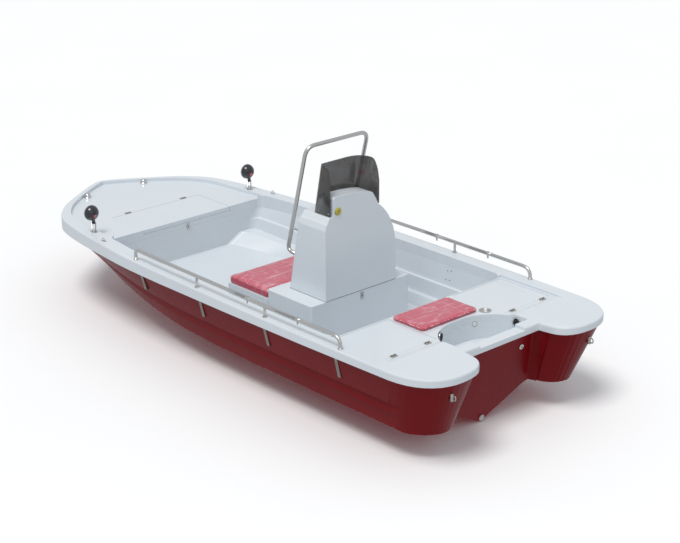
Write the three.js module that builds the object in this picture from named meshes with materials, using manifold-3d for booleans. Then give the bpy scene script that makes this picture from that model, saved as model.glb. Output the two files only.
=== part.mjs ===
// A 4.6 m centre-console bass boat of moulded fibreglass, in millimetres.
// +X points to the bow, +Y to port and +Z up. The origin is on the centreline,
// amidships, at the level of the water that the empty boat floats in.

import * as THREE from 'three';
import { mergeVertices } from 'three/addons/utils/BufferGeometryUtils.js';
import Module from 'manifold-3d';

const wasm = await Module();
wasm.setup();

// ---------------------------------------------------------------- overall sizes
const boatLength = 4596;
const boatBeam = 1812;
const deckHeight = 446;
const keelDraft = 200;
const touchGap = 0.3;
const seamGap = 3;
const skin = 10;

const bowX = boatLength / 2;
const aftX = -boatLength / 2;
const halfBeam = boatBeam / 2;

// ---------------------------------------------------------------- deck moulding
const bandDepthAft = 54;
const bandDepthFore = 111;
const bandEdgeRadius = 12;
const bandOverhang = 18;
const gunwaleWidth = 118;
const bowRimWidth = 46;
const foredeckDrop = 26;
const aftDeckDrop = 16;
const foredeckLength = 1160;
const aftDeckLength = 963;
const slotHalfWidth = 340;
const slotDepth = 228;
const lobeRunout = 338;
const lobeNarrowest = 250;
const foredeckZ = deckHeight - foredeckDrop;
const aftDeckZ = deckHeight - aftDeckDrop;
const cockpitFrontX = bowX - foredeckLength;
const cockpitAftX = aftX + aftDeckLength;
const slotX = aftX + slotDepth;

// ---------------------------------------------------------------- transom and motor well
const transomRakeDeg = 13.5;
const transomInset = 32;
const capHalfWidth = slotHalfWidth - 135;
const capDrop = 21;
const capLength = 84;
const wellHalfWidth = slotHalfWidth - 14;
const wellBulge = 180;
const wellSideLength = 136;
const wellFloorZ = 262;
const ringRadius = 40;
const ringLip = 9;
const ringY = slotHalfWidth - 145;
const ringSetback = 92;
const ringStandoff = 6.5;
const ringDrop = 44;

// ---------------------------------------------------------------- cockpit
const cockpitCorner = 60;
const soleZ = 40;
const bowRise = 75;
const upperLedgeZ = 228;
const lowerLedgeZ = 118;
const upperLedge = 24;
const lowerLedge = 40;
const wallLean = 12;

// ---------------------------------------------------------------- hatches and lids
const hatchHalfWidth = 408;
const hatchLength = 396;
const lidThickness = 22;
const flangeWidth = 24;
const hatchLip = 32;
const aftLidInnerY = slotHalfWidth - 40;
const aftLidOuterInset = 20;
const aftLidLength = 441;
const aftLidSetback = 12;
const hingeBarrelRadius = 4;
const hingeHalfLength = 24;
const hingeLeaf = 22;
const hatchHingeInset = 145;
const lidHingeInnerInset = 92;
const lidHingeOuterInset = 81.8;

// ---------------------------------------------------------------- console
const consoleAftX = cockpitAftX + 557;
const consoleBaseLength = 453;
const consoleBaseHalfWidth = 455;
const consoleBaseTopZ = 385;
const towerHalfWidth = 323;
const towerLength = 375;
const towerShoulderZ = 966;
const towerTopZ = 1102;
const towerFrontLean = 0.211;
const towerWall = 8;
const podPortY = towerHalfWidth - 61;
const podStarboardY = towerHalfWidth - 161;
const podLength = 118;
const podSlope = 0.3;
const seatLength = 436;
const seatTopZ = 310;
const hoopHalfWidth = towerHalfWidth - 45;
const hoopTopZ = 1402;
const hoopTubeRadius = 14;
const hoopStandoff = 108;
const hoopFootDrop = 316;
const stayDrop = 166;
const helmCapInset = 49;
const helmCapDrop = 103;
const consoleLatchY = -6;
const screenThickness = 5;
const screenTopZ = 1310;
const screenReveal = 14;
const screenSlot = 12;
const screenFrontOffset = 182;

// ---------------------------------------------------------------- cushions
const frontCushionThickness = 52;
const aftCushionThickness = 24;
const cushionClearance = 2;
const aftCushionLength = 296;
const aftCushionStarboardY = 225;
const aftCushionCorner = 30;

// ---------------------------------------------------------------- rails and fittings
const railHeight = 78;
const railInset = 29;
const railTubeRadius = 12.5;
const railPostRadius = 9;
const railFootRadius = 17;
const railFrontBend = 42;
const railAftBend = 66;
const railAftX = aftX + 776;
const railFrontX = cockpitFrontX - 520;
const railEyeShares = [0.185, 0.4164];
const lampHeight = 142;
const lampRadius = 58;
const lampPivotHeight = 69;
const lampSetback = 163;
const lampInset = 82;
const navLightSetbackShare = 0.05048;
const navLightInset = 140.3;
const padEyeSetback = 50;
const padEyeInset = 42;
const bowEyeSetback = 120;
const bowEyeDrop = 184;
const strapCount = 4;
const strapSetback = 812;
const strapFootDrop = 210;
const strapHalfWidth = 14;
const sternEyeShare = 0.7;
const sternEyeDrop = 154;
const sternEyeSetback = 60;
const sternEyeReach = 38;
const sternEyeHalf = 15;
const plugRise = 32;
const drainY = 100 - slotHalfWidth;
const drainDrop = 156;

// ---------------------------------------------------------------- materials
const finish = (color, roughness, metalness, opacity = 1) =>
  new THREE.MeshStandardMaterial({ color, roughness, metalness, opacity, transparent: opacity < 1 });
const whiteGelcoat = finish(0xd9dfe4, 0.3, 0);
const redGelcoat = finish(0x7a0f16, 0.28, 0);
const steel = finish(0xb9b6ae, 0.25, 1);
const redVinyl = finish(0xc46a76, 0.45, 0);
const smokedAcrylic = finish(0x4b443f, 0.08, 0, 0.62);
const blackPlastic = finish(0x16171b, 0.35, 0);
const yellowPlastic = finish(0xa89a3e, 0.45, 0);
const whitePlastic = finish(0xe6e6e2, 0.4, 0);

const boat = new THREE.Group();

// ---------------------------------------------------------------- solid helpers
function closedBody(positions, indices) {
  const triVerts = [];
  for (let i = 0; i < indices.length; i += 3) {
    const [a, b, c] = [indices[i], indices[i + 1], indices[i + 2]];
    if (a !== b && b !== c && c !== a) triVerts.push(a, b, c);
  }
  return new wasm.Manifold(new wasm.Mesh({
    numProp: 3,
    vertProperties: new Float32Array(positions),
    triVerts: new Uint32Array(triVerts),
  }));
}

function solid(geometry) {
  const bare = geometry.clone();
  bare.deleteAttribute('normal');
  bare.deleteAttribute('uv');
  const merged = mergeVertices(bare, 1e-3);
  const positions = merged.attributes.position.array;
  const body = closedBody(positions, merged.index.array);
  if (body.volume() > 0) return body;
  return closedBody(positions, Array.from(merged.index.array).reverse());
}

function geometryOf(manifold) {
  const mesh = manifold.getMesh();
  const geometry = new THREE.BufferGeometry();
  geometry.setAttribute('position', new THREE.BufferAttribute(mesh.vertProperties, 3));
  geometry.setIndex(new THREE.BufferAttribute(mesh.triVerts, 1));
  geometry.computeVertexNormals();
  return geometry;
}

function addPiece(name, manifold, material) {
  const piece = new THREE.Mesh(geometryOf(manifold), material);
  piece.name = name;
  boat.add(piece);
  return piece;
}

function union(pieces) {
  return pieces.reduce((whole, piece) => whole.add(piece));
}

// A ring seen flat, without the axis in which it varies least.
function flatten(ring) {
  const size = new THREE.Box3().setFromPoints(ring).getSize(new THREE.Vector3());
  const thinnest = Math.min(size.x, size.y, size.z);
  if (thinnest === size.x) return ring.map((point) => new THREE.Vector2(point.y, point.z));
  if (thinnest === size.y) return ring.map((point) => new THREE.Vector2(point.z, point.x));
  return ring.map((point) => new THREE.Vector2(point.x, point.y));
}

// The triangles that close a ring, turning the way the ring does or against it.
function capFaces(ring, base, sense) {
  const flat = flatten(ring);
  const turning = Math.sign(THREE.ShapeUtils.area(flat)) * sense;
  return THREE.ShapeUtils.triangulateShape(flat, []).flatMap(([a, b, c]) => {
    const own = THREE.ShapeUtils.area([flat[a], flat[b], flat[c]]);
    return (own * turning > 0 ? [a, b, c] : [a, c, b]).map((index) => base + index);
  });
}

// A closed skin through rings of points with equal counts; a ring that has closed up to a
// line needs no cap.
function loft(rings, caps = [true, true]) {
  const count = rings[0].length;
  const positions = rings.flat().flatMap((point) => [point.x, point.y, point.z]);
  const triangles = [];
  for (let r = 0; r + 1 < rings.length; r += 1) {
    for (let i = 0; i < count; i += 1) {
      const a = r * count + i;
      const b = r * count + ((i + 1) % count);
      triangles.push(a, b, b + count, a, b + count, a + count);
    }
  }
  if (caps[0]) triangles.push(...capFaces(rings[0], 0, -1));
  if (caps[1]) triangles.push(...capFaces(rings.at(-1), (rings.length - 1) * count, 1));
  const geometry = new THREE.BufferGeometry();
  geometry.setAttribute('position', new THREE.Float32BufferAttribute(positions, 3));
  geometry.setIndex(triangles);
  return solid(geometry);
}

const at = (x, y, z) => new THREE.Vector3(x, y, z);
const lerp = THREE.MathUtils.lerp;
const clamp01 = (value) => THREE.MathUtils.clamp(value, 0, 1);

function box(x0, x1, y0, y1, z0, z1) {
  const geometry = new THREE.BoxGeometry(x1 - x0, y1 - y0, z1 - z0);
  geometry.translate((x0 + x1) / 2, (y0 + y1) / 2, (z0 + z1) / 2);
  return solid(geometry);
}

// A prism on a plan outline of [x, y] pairs.
function prism(outline, z0, z1) {
  const shape = new THREE.Shape(outline.map(([x, y]) => new THREE.Vector2(x, y)));
  const geometry = new THREE.ExtrudeGeometry(shape, { depth: z1 - z0, bevelEnabled: false });
  geometry.translate(0, 0, z0);
  return solid(geometry);
}

// A prism on a side outline of [x, z] pairs, from y0 to y1.
function sidePrism(outline, y0, y1) {
  const shape = new THREE.Shape(outline.map(([x, z]) => new THREE.Vector2(x, z)));
  const geometry = new THREE.ExtrudeGeometry(shape, { depth: y1 - y0, bevelEnabled: false });
  geometry.rotateX(Math.PI / 2);
  geometry.translate(0, y1, 0);
  return solid(geometry);
}

// Corners of a rectangle rounded with the given radius, as [x, y] pairs.
function roundedRectangle(x0, x1, y0, y1, radius, steps = 5) {
  const corners = [
    [x1 - radius, y1 - radius, 0],
    [x0 + radius, y1 - radius, 1],
    [x0 + radius, y0 + radius, 2],
    [x1 - radius, y0 + radius, 3],
  ];
  return corners.flatMap(([cx, cy, quarter]) => Array.from({ length: steps + 1 }, (_, i) => {
    const angle = (quarter + i / steps) * Math.PI / 2;
    return [cx + radius * Math.cos(angle), cy + radius * Math.sin(angle)];
  }));
}

function cylinder(radius, length, sides, axis, centre) {
  const geometry = new THREE.CylinderGeometry(radius, radius, length, sides);
  if (axis === 'x') geometry.rotateZ(Math.PI / 2);
  if (axis === 'z') geometry.rotateX(Math.PI / 2);
  geometry.translate(centre.x, centre.y, centre.z);
  return solid(geometry);
}

// A turned shape about +Z from [radius, height] pairs, placed by a matrix.
function turned(profile, sides, matrix) {
  const points = profile.map(([radius, height]) => new THREE.Vector2(radius, height));
  const geometry = new THREE.LatheGeometry(points, sides);
  geometry.rotateX(Math.PI / 2);
  geometry.applyMatrix4(matrix);
  return solid(geometry);
}

// A round bar bent through its corner points, each corner with its own bend radius.
function bentPath(corners, radii, stepsPerBend = 6) {
  const path = new THREE.CurvePath();
  let start = corners[0];
  for (let i = 1; i + 1 < corners.length; i += 1) {
    const inward = corners[i].clone().sub(corners[i - 1]).normalize();
    const outward = corners[i + 1].clone().sub(corners[i]).normalize();
    const setback = radii[i - 1] * Math.tan(inward.angleTo(outward) / 2);
    const before = corners[i].clone().addScaledVector(inward, -setback);
    const after = corners[i].clone().addScaledVector(outward, setback);
    path.add(new THREE.LineCurve3(start, before));
    path.add(new THREE.QuadraticBezierCurve3(before, corners[i], after));
    start = after;
  }
  path.add(new THREE.LineCurve3(start, corners.at(-1)));
  const points = path.curves.flatMap((curve) => curve.getPoints(curve.isLineCurve3 ? 1 : stepsPerBend));
  return points.filter((point, i) => i === 0 || point.distanceTo(points[i - 1]) > 0.01);
}

// Sweeps a circle along points, square to the path at every point.
function bar(points, radius, sides = 10) {
  const rings = [];
  const first = points[1].clone().sub(points[0]).normalize();
  const helper = Math.abs(first.z) > 0.9 ? at(1, 0, 0) : at(0, 0, 1);
  let across = helper.clone().cross(first).normalize();
  let direction = first;
  points.forEach((point, i) => {
    const ahead = points[Math.min(i + 1, points.length - 1)].clone().sub(points[Math.max(i - 1, 0)]).normalize();
    across.applyQuaternion(new THREE.Quaternion().setFromUnitVectors(direction, ahead));
    direction = ahead;
    const up = direction.clone().cross(across);
    rings.push(Array.from({ length: sides }, (_, k) => {
      const angle = (k / sides) * Math.PI * 2;
      return point.clone()
        .addScaledVector(across, radius * Math.cos(angle))
        .addScaledVector(up, radius * Math.sin(angle));
    }));
  });
  return loft(rings);
}

const mirrored = (manifold) => manifold.mirror([0, 1, 0]);

// A fitting cut to lie on the surface of its base, a touching gap off it on the side given.
function seated(fitting, base, outward) {
  return fitting.subtract(base.translate([
    outward.x * touchGap, outward.y * touchGap, outward.z * touchGap,
  ]));
}

// ---------------------------------------------------------------- plan shape of the deck
// Share of the length from the stern, and share of the half beam, along the sheer.
const sheerShares = [
  [1, 0], [0.9965, 0.055], [0.9872, 0.152], [0.955, 0.411], [0.927, 0.609], [0.8923, 0.763],
  [0.8647, 0.827], [0.8046, 0.891], [0.7467, 0.926], [0.6543, 0.9735], [0.4693, 0.9967],
  [0.2383, 1], [0.0735, 0.988],
];

function sheerCurve() {
  const port = sheerShares.map(([along, across]) => at(aftX + boatLength * along, halfBeam * across, 0));
  const lead = at(port[1].x, -port[1].y, 0);
  return new THREE.CatmullRomCurve3([lead, ...port], false, 'centripetal');
}

const sheerSamples = sheerCurve().getPoints(400).filter((point) => point.y >= 0);

// Half the breadth of the deck at x, with the sides carried on past the stern corners.
function deckHalf(x) {
  const last = sheerSamples.at(-1);
  if (x <= last.x) return last.y;
  for (let i = 1; i < sheerSamples.length; i += 1) {
    const a = sheerSamples[i - 1];
    const b = sheerSamples[i];
    if (x <= a.x && x >= b.x) return lerp(b.y, a.y, (x - b.x) / Math.max(a.x - b.x, 1e-6));
  }
  return 0;
}

const bandBottom = (x) => deckHeight - lerp(bandDepthAft, bandDepthFore, (x - aftX) / boatLength);

// The rounded stern corner and the side of the motor slot, from the side to the slot's corner.
function lobeCurve(side, tail, inner, slotCorner) {
  const scale = Math.min((side.y - inner) / lobeNarrowest, 1);
  const middle = (inner + side.y) / 2 - 23 * scale;
  const outer = new THREE.CubicBezierCurve(
    side,
    new THREE.Vector2(lerp(tail, side.x, 0.32), side.y - 10 * scale),
    new THREE.Vector2(tail, side.y - 135 * scale),
    new THREE.Vector2(tail, middle),
  );
  const inside = new THREE.CubicBezierCurve(
    new THREE.Vector2(tail, middle),
    new THREE.Vector2(tail, inner + 90 * scale),
    new THREE.Vector2(tail + 58, inner + 25 * scale),
    new THREE.Vector2(tail + 148, inner + 12 * scale),
  );
  return [...outer.getPoints(9), ...inside.getPoints(7).slice(1), new THREE.Vector2(slotCorner, inner)];
}

function deckHalfOutline() {
  const curve = sheerCurve();
  const points = curve.getPoints(13 * 4).filter((point) => point.y > 1e-3);
  const side = points.at(-1);
  const lobe = lobeCurve(new THREE.Vector2(side.x, side.y), aftX, slotHalfWidth, slotX);
  const port = points.slice(0, -1).map((point) => new THREE.Vector2(point.x, point.y));
  return [new THREE.Vector2(bowX, 0), ...port, ...lobe];
}

// The whole outline, counterclockwise, moved inwards by an inset that may vary with x.
function deckOutline(insetAt) {
  const port = deckHalfOutline();
  const starboard = port.slice(1).reverse().map((point) => new THREE.Vector2(point.x, -point.y));
  return insetOutline([...port, ...starboard], insetAt);
}

function insetOutline(outline, insetAt) {
  const count = outline.length;
  return outline.map((point, i) => {
    const before = point.clone().sub(outline[(i + count - 1) % count]).normalize();
    const after = outline[(i + 1) % count].clone().sub(point).normalize();
    const normal = new THREE.Vector2(-(before.y + after.y), before.x + after.x).normalize();
    const spread = Math.max(0.5, -before.y * normal.x + before.x * normal.y);
    return point.clone().addScaledVector(normal, insetAt(point.x) / spread);
  });
}

function ringAt(outline, heightAt) {
  return outline.map((point) => at(point.x, point.y, heightAt(point.x)));
}

// ---------------------------------------------------------------- hull
// Table of offsets, in millimetres from amidships on the 4.6 m boat: the keel, the inner and
// the outer chine as [x, half breadth, height]; the sheer takes its breadth from the deck.
const designLength = 4596;
const designHalfBeam = 906;
const hullOffsets = [
  { keel: [-2330, 0, -200], inner: [-2330, 384, -5], outer: [-2330, 764, -11], sheerX: -2330 },
  { keel: [-1200, 0, -200], inner: [-1200, 384, -4], outer: [-1200, 764, -10], sheerX: -1200 },
  { keel: [-400, 0, -200], inner: [-400, 384, -4], outer: [-400, 762, -8], sheerX: -400 },
  { keel: [155, 0, -200], inner: [155, 383, -3], outer: [155, 753, 2], sheerX: 155 },
  { keel: [560, 0, -198], inner: [560, 380, 6], outer: [560, 740, 42], sheerX: 560 },
  { keel: [950, 0, -185], inner: [950, 372, 38], outer: [950, 720, 124], sheerX: 950 },
  { keel: [1250, 0, -155], inner: [1250, 350, 95], outer: [1250, 692, 206], sheerX: 1250 },
  { keel: [1520, 0, -95], inner: [1520, 305, 160], outer: [1520, 650, 250], sheerX: 1520 },
  { keel: [1780, 0, 0], inner: [1780, 235, 208], outer: [1780, 545, 284], sheerX: 1790 },
  { keel: [1960, 0, 82], inner: [1990, 150, 232], outer: [2000, 395, 303], sheerX: 2040 },
  { keel: [2090, 0, 146], inner: [2130, 68, 248], outer: [2160, 195, 313], sheerX: 2195 },
  { keel: [2170, 0, 196], inner: [2215, 0, 262], outer: [2248, 0, 306], sheerX: bowX - 16 },
];
const stationsPerRow = 3;
const sideSteps = [0.3, 0.49];
const stepLedge = 18;
const chineRound = 14;

function hullPoint([x, y, z]) {
  return at(x * boatLength / designLength, y * boatBeam / (2 * designHalfBeam), z < 0 ? z * keelDraft / 200 : z);
}

function hullLine(rows) {
  return new THREE.CatmullRomCurve3(rows, false, 'centripetal');
}

// One half section from the keel to the sheer, in steps that look like moulded strakes.
function halfSection(keel, inner, outer, sheer) {
  const taper = clamp01((sheer.y - 150) / 400);
  const ledge = stepLedge * taper;
  const round = chineRound * taper;
  const along = (from, to, share) => from.clone().lerp(to, share);
  const reach = Math.max(outer.distanceTo(sheer), 1);
  const points = [keel, inner];
  points.push(along(outer, inner, round / Math.max(outer.distanceTo(inner), 1)));
  points.push(along(outer, sheer, round / reach));
  for (const share of sideSteps) {
    const low = along(outer, sheer, share);
    points.push(at(low.x, low.y - ledge / 2, low.z));
    points.push(at(low.x, low.y + ledge / 2, low.z + ledge / 2 + 0.5));
  }
  points.push(sheer);
  return points;
}

function hullShell() {
  const rows = hullOffsets.map((row) => {
    const x = row.sheerX * boatLength / designLength;
    const breadth = Math.max(deckHalf(Math.min(x + bandOverhang * clamp01((x - 1500) / 700), bowX)) - bandOverhang, 0);
    return {
      keel: hullPoint(row.keel),
      inner: hullPoint(row.inner),
      outer: hullPoint(row.outer),
      sheer: at(x, row === hullOffsets.at(-1) ? 0 : breadth, bandBottom(x) + skin),
    };
  });
  const lines = ['keel', 'inner', 'outer', 'sheer'].map((line) => hullLine(rows.map((row) => row[line])));
  const count = (hullOffsets.length - 1) * stationsPerRow;
  const rings = Array.from({ length: count + 1 }, (_, i) => {
    const [keel, inner, outer, sheer] = lines.map((line) => line.getPoint(i / count));
    sheer.z = bandBottom(sheer.x) + skin;
    const port = halfSection(keel, inner, outer, sheer);
    if (i === count) port.forEach((point) => point.setY(0));
    const starboard = port.slice(1).reverse().map((point) => at(point.x, -point.y, point.z));
    return [...starboard, ...port];
  });
  return loft(rings, [true, false]);
}

// Everything aft of the transom between the stern corners is outside this shape.
function sternCutter() {
  const lowZ = -keelDraft - 60;
  const highZ = deckHeight + 20;
  const rake = Math.tan(THREE.MathUtils.degToRad(transomRakeDeg));
  const topZ = bandBottom(slotX);
  const ring = (z) => {
    const share = (z + 11) / (topZ + 11);
    const sideY = lerp(764 * halfBeam / designHalfBeam, deckHalf(aftX) - bandOverhang, share);
    const sideX = aftX + lerp(lobeRunout + 110, lobeRunout, share);
    const tail = aftX + lerp(172, bandOverhang, share);
    const inner = slotHalfWidth + lerp(62, 16, share);
    const transomX = slotX + transomInset + (topZ - z) * rake;
    const lobe = lobeCurve(new THREE.Vector2(sideX, sideY + 4), tail, inner, transomX);
    const cove = new THREE.Vector2(transomX, inner - 46);
    lobe.splice(-1, 1, new THREE.Vector2(transomX - 40, inner + 2), new THREE.Vector2(transomX - 9, inner - 12), cove);
    const port = [
      new THREE.Vector2(bowX + 100, halfBeam + 200),
      new THREE.Vector2(sideX + 200, halfBeam + 200),
      ...lobe,
    ];
    const starboard = [...port].reverse().map((point) => new THREE.Vector2(point.x, -point.y));
    return [...port, ...starboard].map((point) => at(point.x, point.y, z));
  };
  return loft([ring(lowZ), ring(highZ)]);
}

// ---------------------------------------------------------------- cockpit, lockers and well
// Everything above the underside of the deck moulding.
function aboveBand(clearance) {
  const x0 = aftX - 100;
  const x1 = bowX + 100;
  return sidePrism([
    [x0, bandBottom(x0) - clearance],
    [x1, bandBottom(x1) - clearance],
    [x1, deckHeight + 900],
    [x0, deckHeight + 900],
  ], -halfBeam - 100, halfBeam + 100);
}

function cornerLoss(x, grow) {
  const distance = Math.min(x - (cockpitAftX - grow), cockpitFrontX + grow - x);
  const short = Math.max(cockpitCorner - distance, 0);
  return cockpitCorner - Math.sqrt(Math.max(cockpitCorner ** 2 - short ** 2, 0));
}

const bowShare = (x) => THREE.MathUtils.smoothstep(x, cockpitFrontX - 640, cockpitFrontX);

// Half the width of the cockpit at deck level.
const cockpitHalf = (x) => deckHalf(x) - gunwaleWidth;

function cockpitSection(x, grow) {
  const rise = bowShare(x);
  const loss = cornerLoss(x, grow);
  const top = cockpitHalf(THREE.MathUtils.clamp(x, cockpitAftX, cockpitFrontX)) - loss + grow;
  const upper = top - wallLean - 20 * rise;
  const upperIn = upper - upperLedge - 10 * rise;
  const lower = upperIn - wallLean / 2 - 12 * rise;
  const lowerIn = lower - lowerLedge - 60 * rise;
  const floor = lowerIn - 30 - 100 * rise;
  const upperZ = upperLedgeZ + 45 * rise - grow;
  const lowerZ = lowerLedgeZ + 72 * rise - grow;
  const floorZ = soleZ + bowRise * rise - grow;
  const port = [
    at(x, floor, floorZ),
    at(x, lowerIn, lowerZ),
    at(x, lower, lowerZ),
    at(x, upperIn, upperZ),
    at(x, upper, upperZ),
    at(x, top, bandBottom(x) - 2),
    at(x, top, deckHeight + 60),
  ];
  const starboard = [...port].reverse().map((point) => at(point.x, -point.y, point.z));
  return [...starboard, ...port];
}

function cockpitSpace(grow) {
  const cornerShares = [0, 0.06, 0.25, 0.55, 1];
  const aft = cockpitAftX - grow;
  const front = cockpitFrontX + grow;
  const middle = Array.from({ length: 11 }, (_, i) => lerp(aft + cockpitCorner, front - cockpitCorner, i / 10));
  const stations = [
    ...cornerShares.map((share) => aft + cockpitCorner * share),
    ...middle.slice(1, -1),
    ...cornerShares.map((share) => front - cockpitCorner * share).reverse(),
  ];
  return loft(stations.map((x) => cockpitSection(x, grow)));
}

const hatchBackX = cockpitFrontX;
const hatchFrontX = cockpitFrontX + hatchLength;

function foreLockerSpace(grow) {
  const ring = (z, x0, x1, half) => {
    const outline = roundedRectangle(x0 - grow, x1 + grow, -half - grow, half + grow, 30 + grow);
    return outline.map(([x, y]) => at(x, y, z));
  };
  const inset = flangeWidth;
  const backX = hatchBackX + skin + 14;
  return loft([
    ring(222 - grow, backX + 6, hatchFrontX - inset - 30, hatchHalfWidth - inset - 90),
    ring(foredeckZ + 40, backX, hatchFrontX - inset, hatchHalfWidth - inset),
  ]);
}

const aftLidFrontX = cockpitAftX - aftLidSetback;
const aftLidBackX = aftLidFrontX - aftLidLength;
const aftLidOuterY = cockpitHalf(aftLidFrontX) - aftLidOuterInset;

function aftLockerSpace(grow) {
  const outline = roundedRectangle(
    aftLidBackX + flangeWidth - grow,
    aftLidFrontX - flangeWidth + grow,
    aftLidInnerY + flangeWidth - grow,
    aftLidOuterY - flangeWidth + grow,
    26 + grow,
  );
  return prism(outline, 66 - grow, deckHeight + 20);
}

// The well's plan: a bowed front wall, straight sides and the transom behind.
function wellOutline(grow) {
  const backX = slotX + capLength - grow;
  const cornerX = backX + wellSideLength + grow;
  const half = wellHalfWidth + grow;
  const front = new THREE.CubicBezierCurve(
    new THREE.Vector2(cornerX, half),
    new THREE.Vector2(cornerX + wellBulge * 0.86, half * 0.78),
    new THREE.Vector2(cornerX + wellBulge * 1.04 + grow, half * 0.36),
    new THREE.Vector2(cornerX + wellBulge + grow, 0),
  ).getPoints(8);
  const starboard = front.slice(0, -1).reverse().map((point) => new THREE.Vector2(point.x, -point.y));
  const outline = [...front, ...starboard].map((point) => [point.x, point.y]);
  return [[backX, -half], ...outline.reverse(), [backX, half]];
}

function wellSpace(grow) {
  return prism(wellOutline(grow), wellFloorZ - grow, deckHeight + 20);
}

const cupX = wellOutline(0)[0][0] + 313;
const cupY = 76 - slotHalfWidth;
const cupRadius = 34;
const cupDepth = 88;

function tub(space) {
  return space(skin).subtract(space(0)).subtract(aboveBand(touchGap));
}

const tubSpaces = [cockpitSpace, foreLockerSpace, aftLockerSpace, wellSpace];

function hull() {
  let body = hullShell().intersect(sternCutter()).subtract(aboveBand(touchGap));
  const cutGrow = skin + touchGap;
  for (const space of tubSpaces) {
    body = body.subtract(space(cutGrow));
  }
  body = body.subtract(mirrored(aftLockerSpace(cutGrow)));
  return body.subtract(cylinder(cupRadius + touchGap, 2 * cupDepth, 24, 'z', at(cupX, cupY, aftDeckZ - 4)));
}

// ---------------------------------------------------------------- deck
function deckPlate() {
  const edge = bandEdgeRadius;
  const levels = [
    [(x) => bandBottom(x), 4],
    [(x) => bandBottom(x) + 4, 0],
    [() => deckHeight - edge, 0],
    [() => deckHeight - edge * 0.3, edge * 0.3],
    [() => deckHeight, edge],
  ];
  return loft(levels.map(([heightAt, inset]) => ringAt(deckOutline(() => inset), heightAt)));
}

// The lower surface of the foredeck inside its raised rim.
function foredeckRecess() {
  const rimAt = (x) => lerp(gunwaleWidth, bowRimWidth, clamp01((x - cockpitFrontX - 260) / (bowX - cockpitFrontX - 460)));
  const inner = deckOutline(rimAt).filter((point) => point.x > cockpitFrontX - 5);
  const outline = [...inner, ...[]].map((point) => [point.x, point.y]);
  const wrapped = outline.sort((a, b) => Math.atan2(a[1], a[0] - cockpitFrontX) - Math.atan2(b[1], b[0] - cockpitFrontX));
  const backX = cockpitFrontX - 4;
  const half = cockpitHalf(cockpitFrontX);
  const closed = [[backX, -half], ...wrapped.filter(([x]) => x > cockpitFrontX + 5), [backX, half]];
  return prism(closed, foredeckZ, deckHeight + 40);
}

function aftDeckRecess() {
  const half = cockpitHalf(aftLidFrontX);
  const rampX = aftLidBackX - hingeLeaf - 12;
  const side = sidePrism([
    [cockpitAftX + 4, aftDeckZ],
    [cockpitAftX + 4, deckHeight + 40],
    [rampX - 90, deckHeight + 40],
    [rampX - 60, deckHeight + 0.5],
    [rampX, aftDeckZ],
  ].reverse(), -half, half);
  return side;
}

function lidRebates() {
  const hatch = box(hatchBackX - 20, hatchFrontX, -hatchHalfWidth, hatchHalfWidth, foredeckZ - lidThickness - 0.5, deckHeight + 20);
  const lip = box(hatchBackX - 20, hatchBackX + skin + 4, -hatchHalfWidth, hatchHalfWidth, foredeckZ - hatchLip - 1, deckHeight);
  const aft = box(aftLidBackX, aftLidFrontX, aftLidInnerY, aftLidOuterY, aftDeckZ - lidThickness - 0.5, deckHeight + 20);
  return union([hatch, lip, aft, mirrored(aft)]);
}

function deck() {
  let body = deckPlate().subtract(foredeckRecess()).subtract(aftDeckRecess());
  const downBelow = deckHeight - 400;
  const clear = (space) => space(0).intersect(box(aftX, bowX, -halfBeam, halfBeam, downBelow, deckHeight + 100));
  body = body.subtract(clear(cockpitSpace)).subtract(clear(foreLockerSpace)).subtract(clear(wellSpace));
  body = body.subtract(clear(aftLockerSpace)).subtract(mirrored(clear(aftLockerSpace)));
  body = body.subtract(lidRebates());
  const cap = box(aftX, slotX + capLength + 30, -capHalfWidth, capHalfWidth, deckHeight - capDrop, deckHeight + 60);
  body = body.subtract(cap);
  body = body.subtract(cylinder(cupRadius + touchGap, 400, 24, 'z', at(cupX, cupY, aftDeckZ)));
  return body;
}

// ---------------------------------------------------------------- lids and hinges
const hingeGap = 1.5;
const hatchHinge = at(hatchFrontX + 2, 0, foredeckZ + hingeBarrelRadius + hingeGap);
const aftHinge = at(aftLidBackX - 2, 0, aftDeckZ + hingeBarrelRadius + hingeGap);

function foredeckHatch() {
  const plate = box(
    hatchBackX, hatchFrontX - seamGap,
    -hatchHalfWidth + seamGap, hatchHalfWidth - seamGap,
    foredeckZ - lidThickness, foredeckZ,
  );
  const lip = box(
    hatchBackX, hatchBackX + skin,
    -hatchHalfWidth + seamGap, hatchHalfWidth - seamGap,
    foredeckZ - hatchLip, foredeckZ,
  );
  return plate.add(lip);
}

function aftLid() {
  return box(
    aftLidBackX + seamGap, aftLidFrontX - seamGap,
    aftLidInnerY + seamGap, aftLidOuterY - seamGap,
    aftDeckZ - lidThickness, aftDeckZ,
  );
}

// A leaf screwed to the deck and the barrel it carries; facing is the side the leaf lies on.
function hinge(centre, facing) {
  const barrel = cylinder(hingeBarrelRadius, hingeHalfLength * 2, 12, 'y', centre);
  const x0 = Math.min(centre.x, centre.x + facing * hingeLeaf);
  const x1 = Math.max(centre.x, centre.x + facing * hingeLeaf);
  const low = centre.z - hingeBarrelRadius - hingeGap + touchGap;
  const leaf = box(x0, x1, centre.y - hingeHalfLength, centre.y + hingeHalfLength, low, low + 2.4);
  return barrel.add(leaf);
}

// A hasp: a plate below the seam, its staple and the strap that folds up over it.
function hasp(faceX, y, topZ, outward) {
  const x = (depth) => faceX + outward * depth;
  const slab = (d0, d1, half, z0, z1) => box(
    Math.min(x(d0), x(d1)), Math.max(x(d0), x(d1)), y - half, y + half, z0, z1,
  );
  const plate = slab(touchGap, 3, 13, topZ - 62, topZ - 8);
  const strap = slab(2.5, 6, 9, topZ - 52, topZ - 10);
  const staple = slab(5.5, 16, 3.5, topZ - 44, topZ - 26);
  return union([plate, strap, staple]);
}

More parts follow.
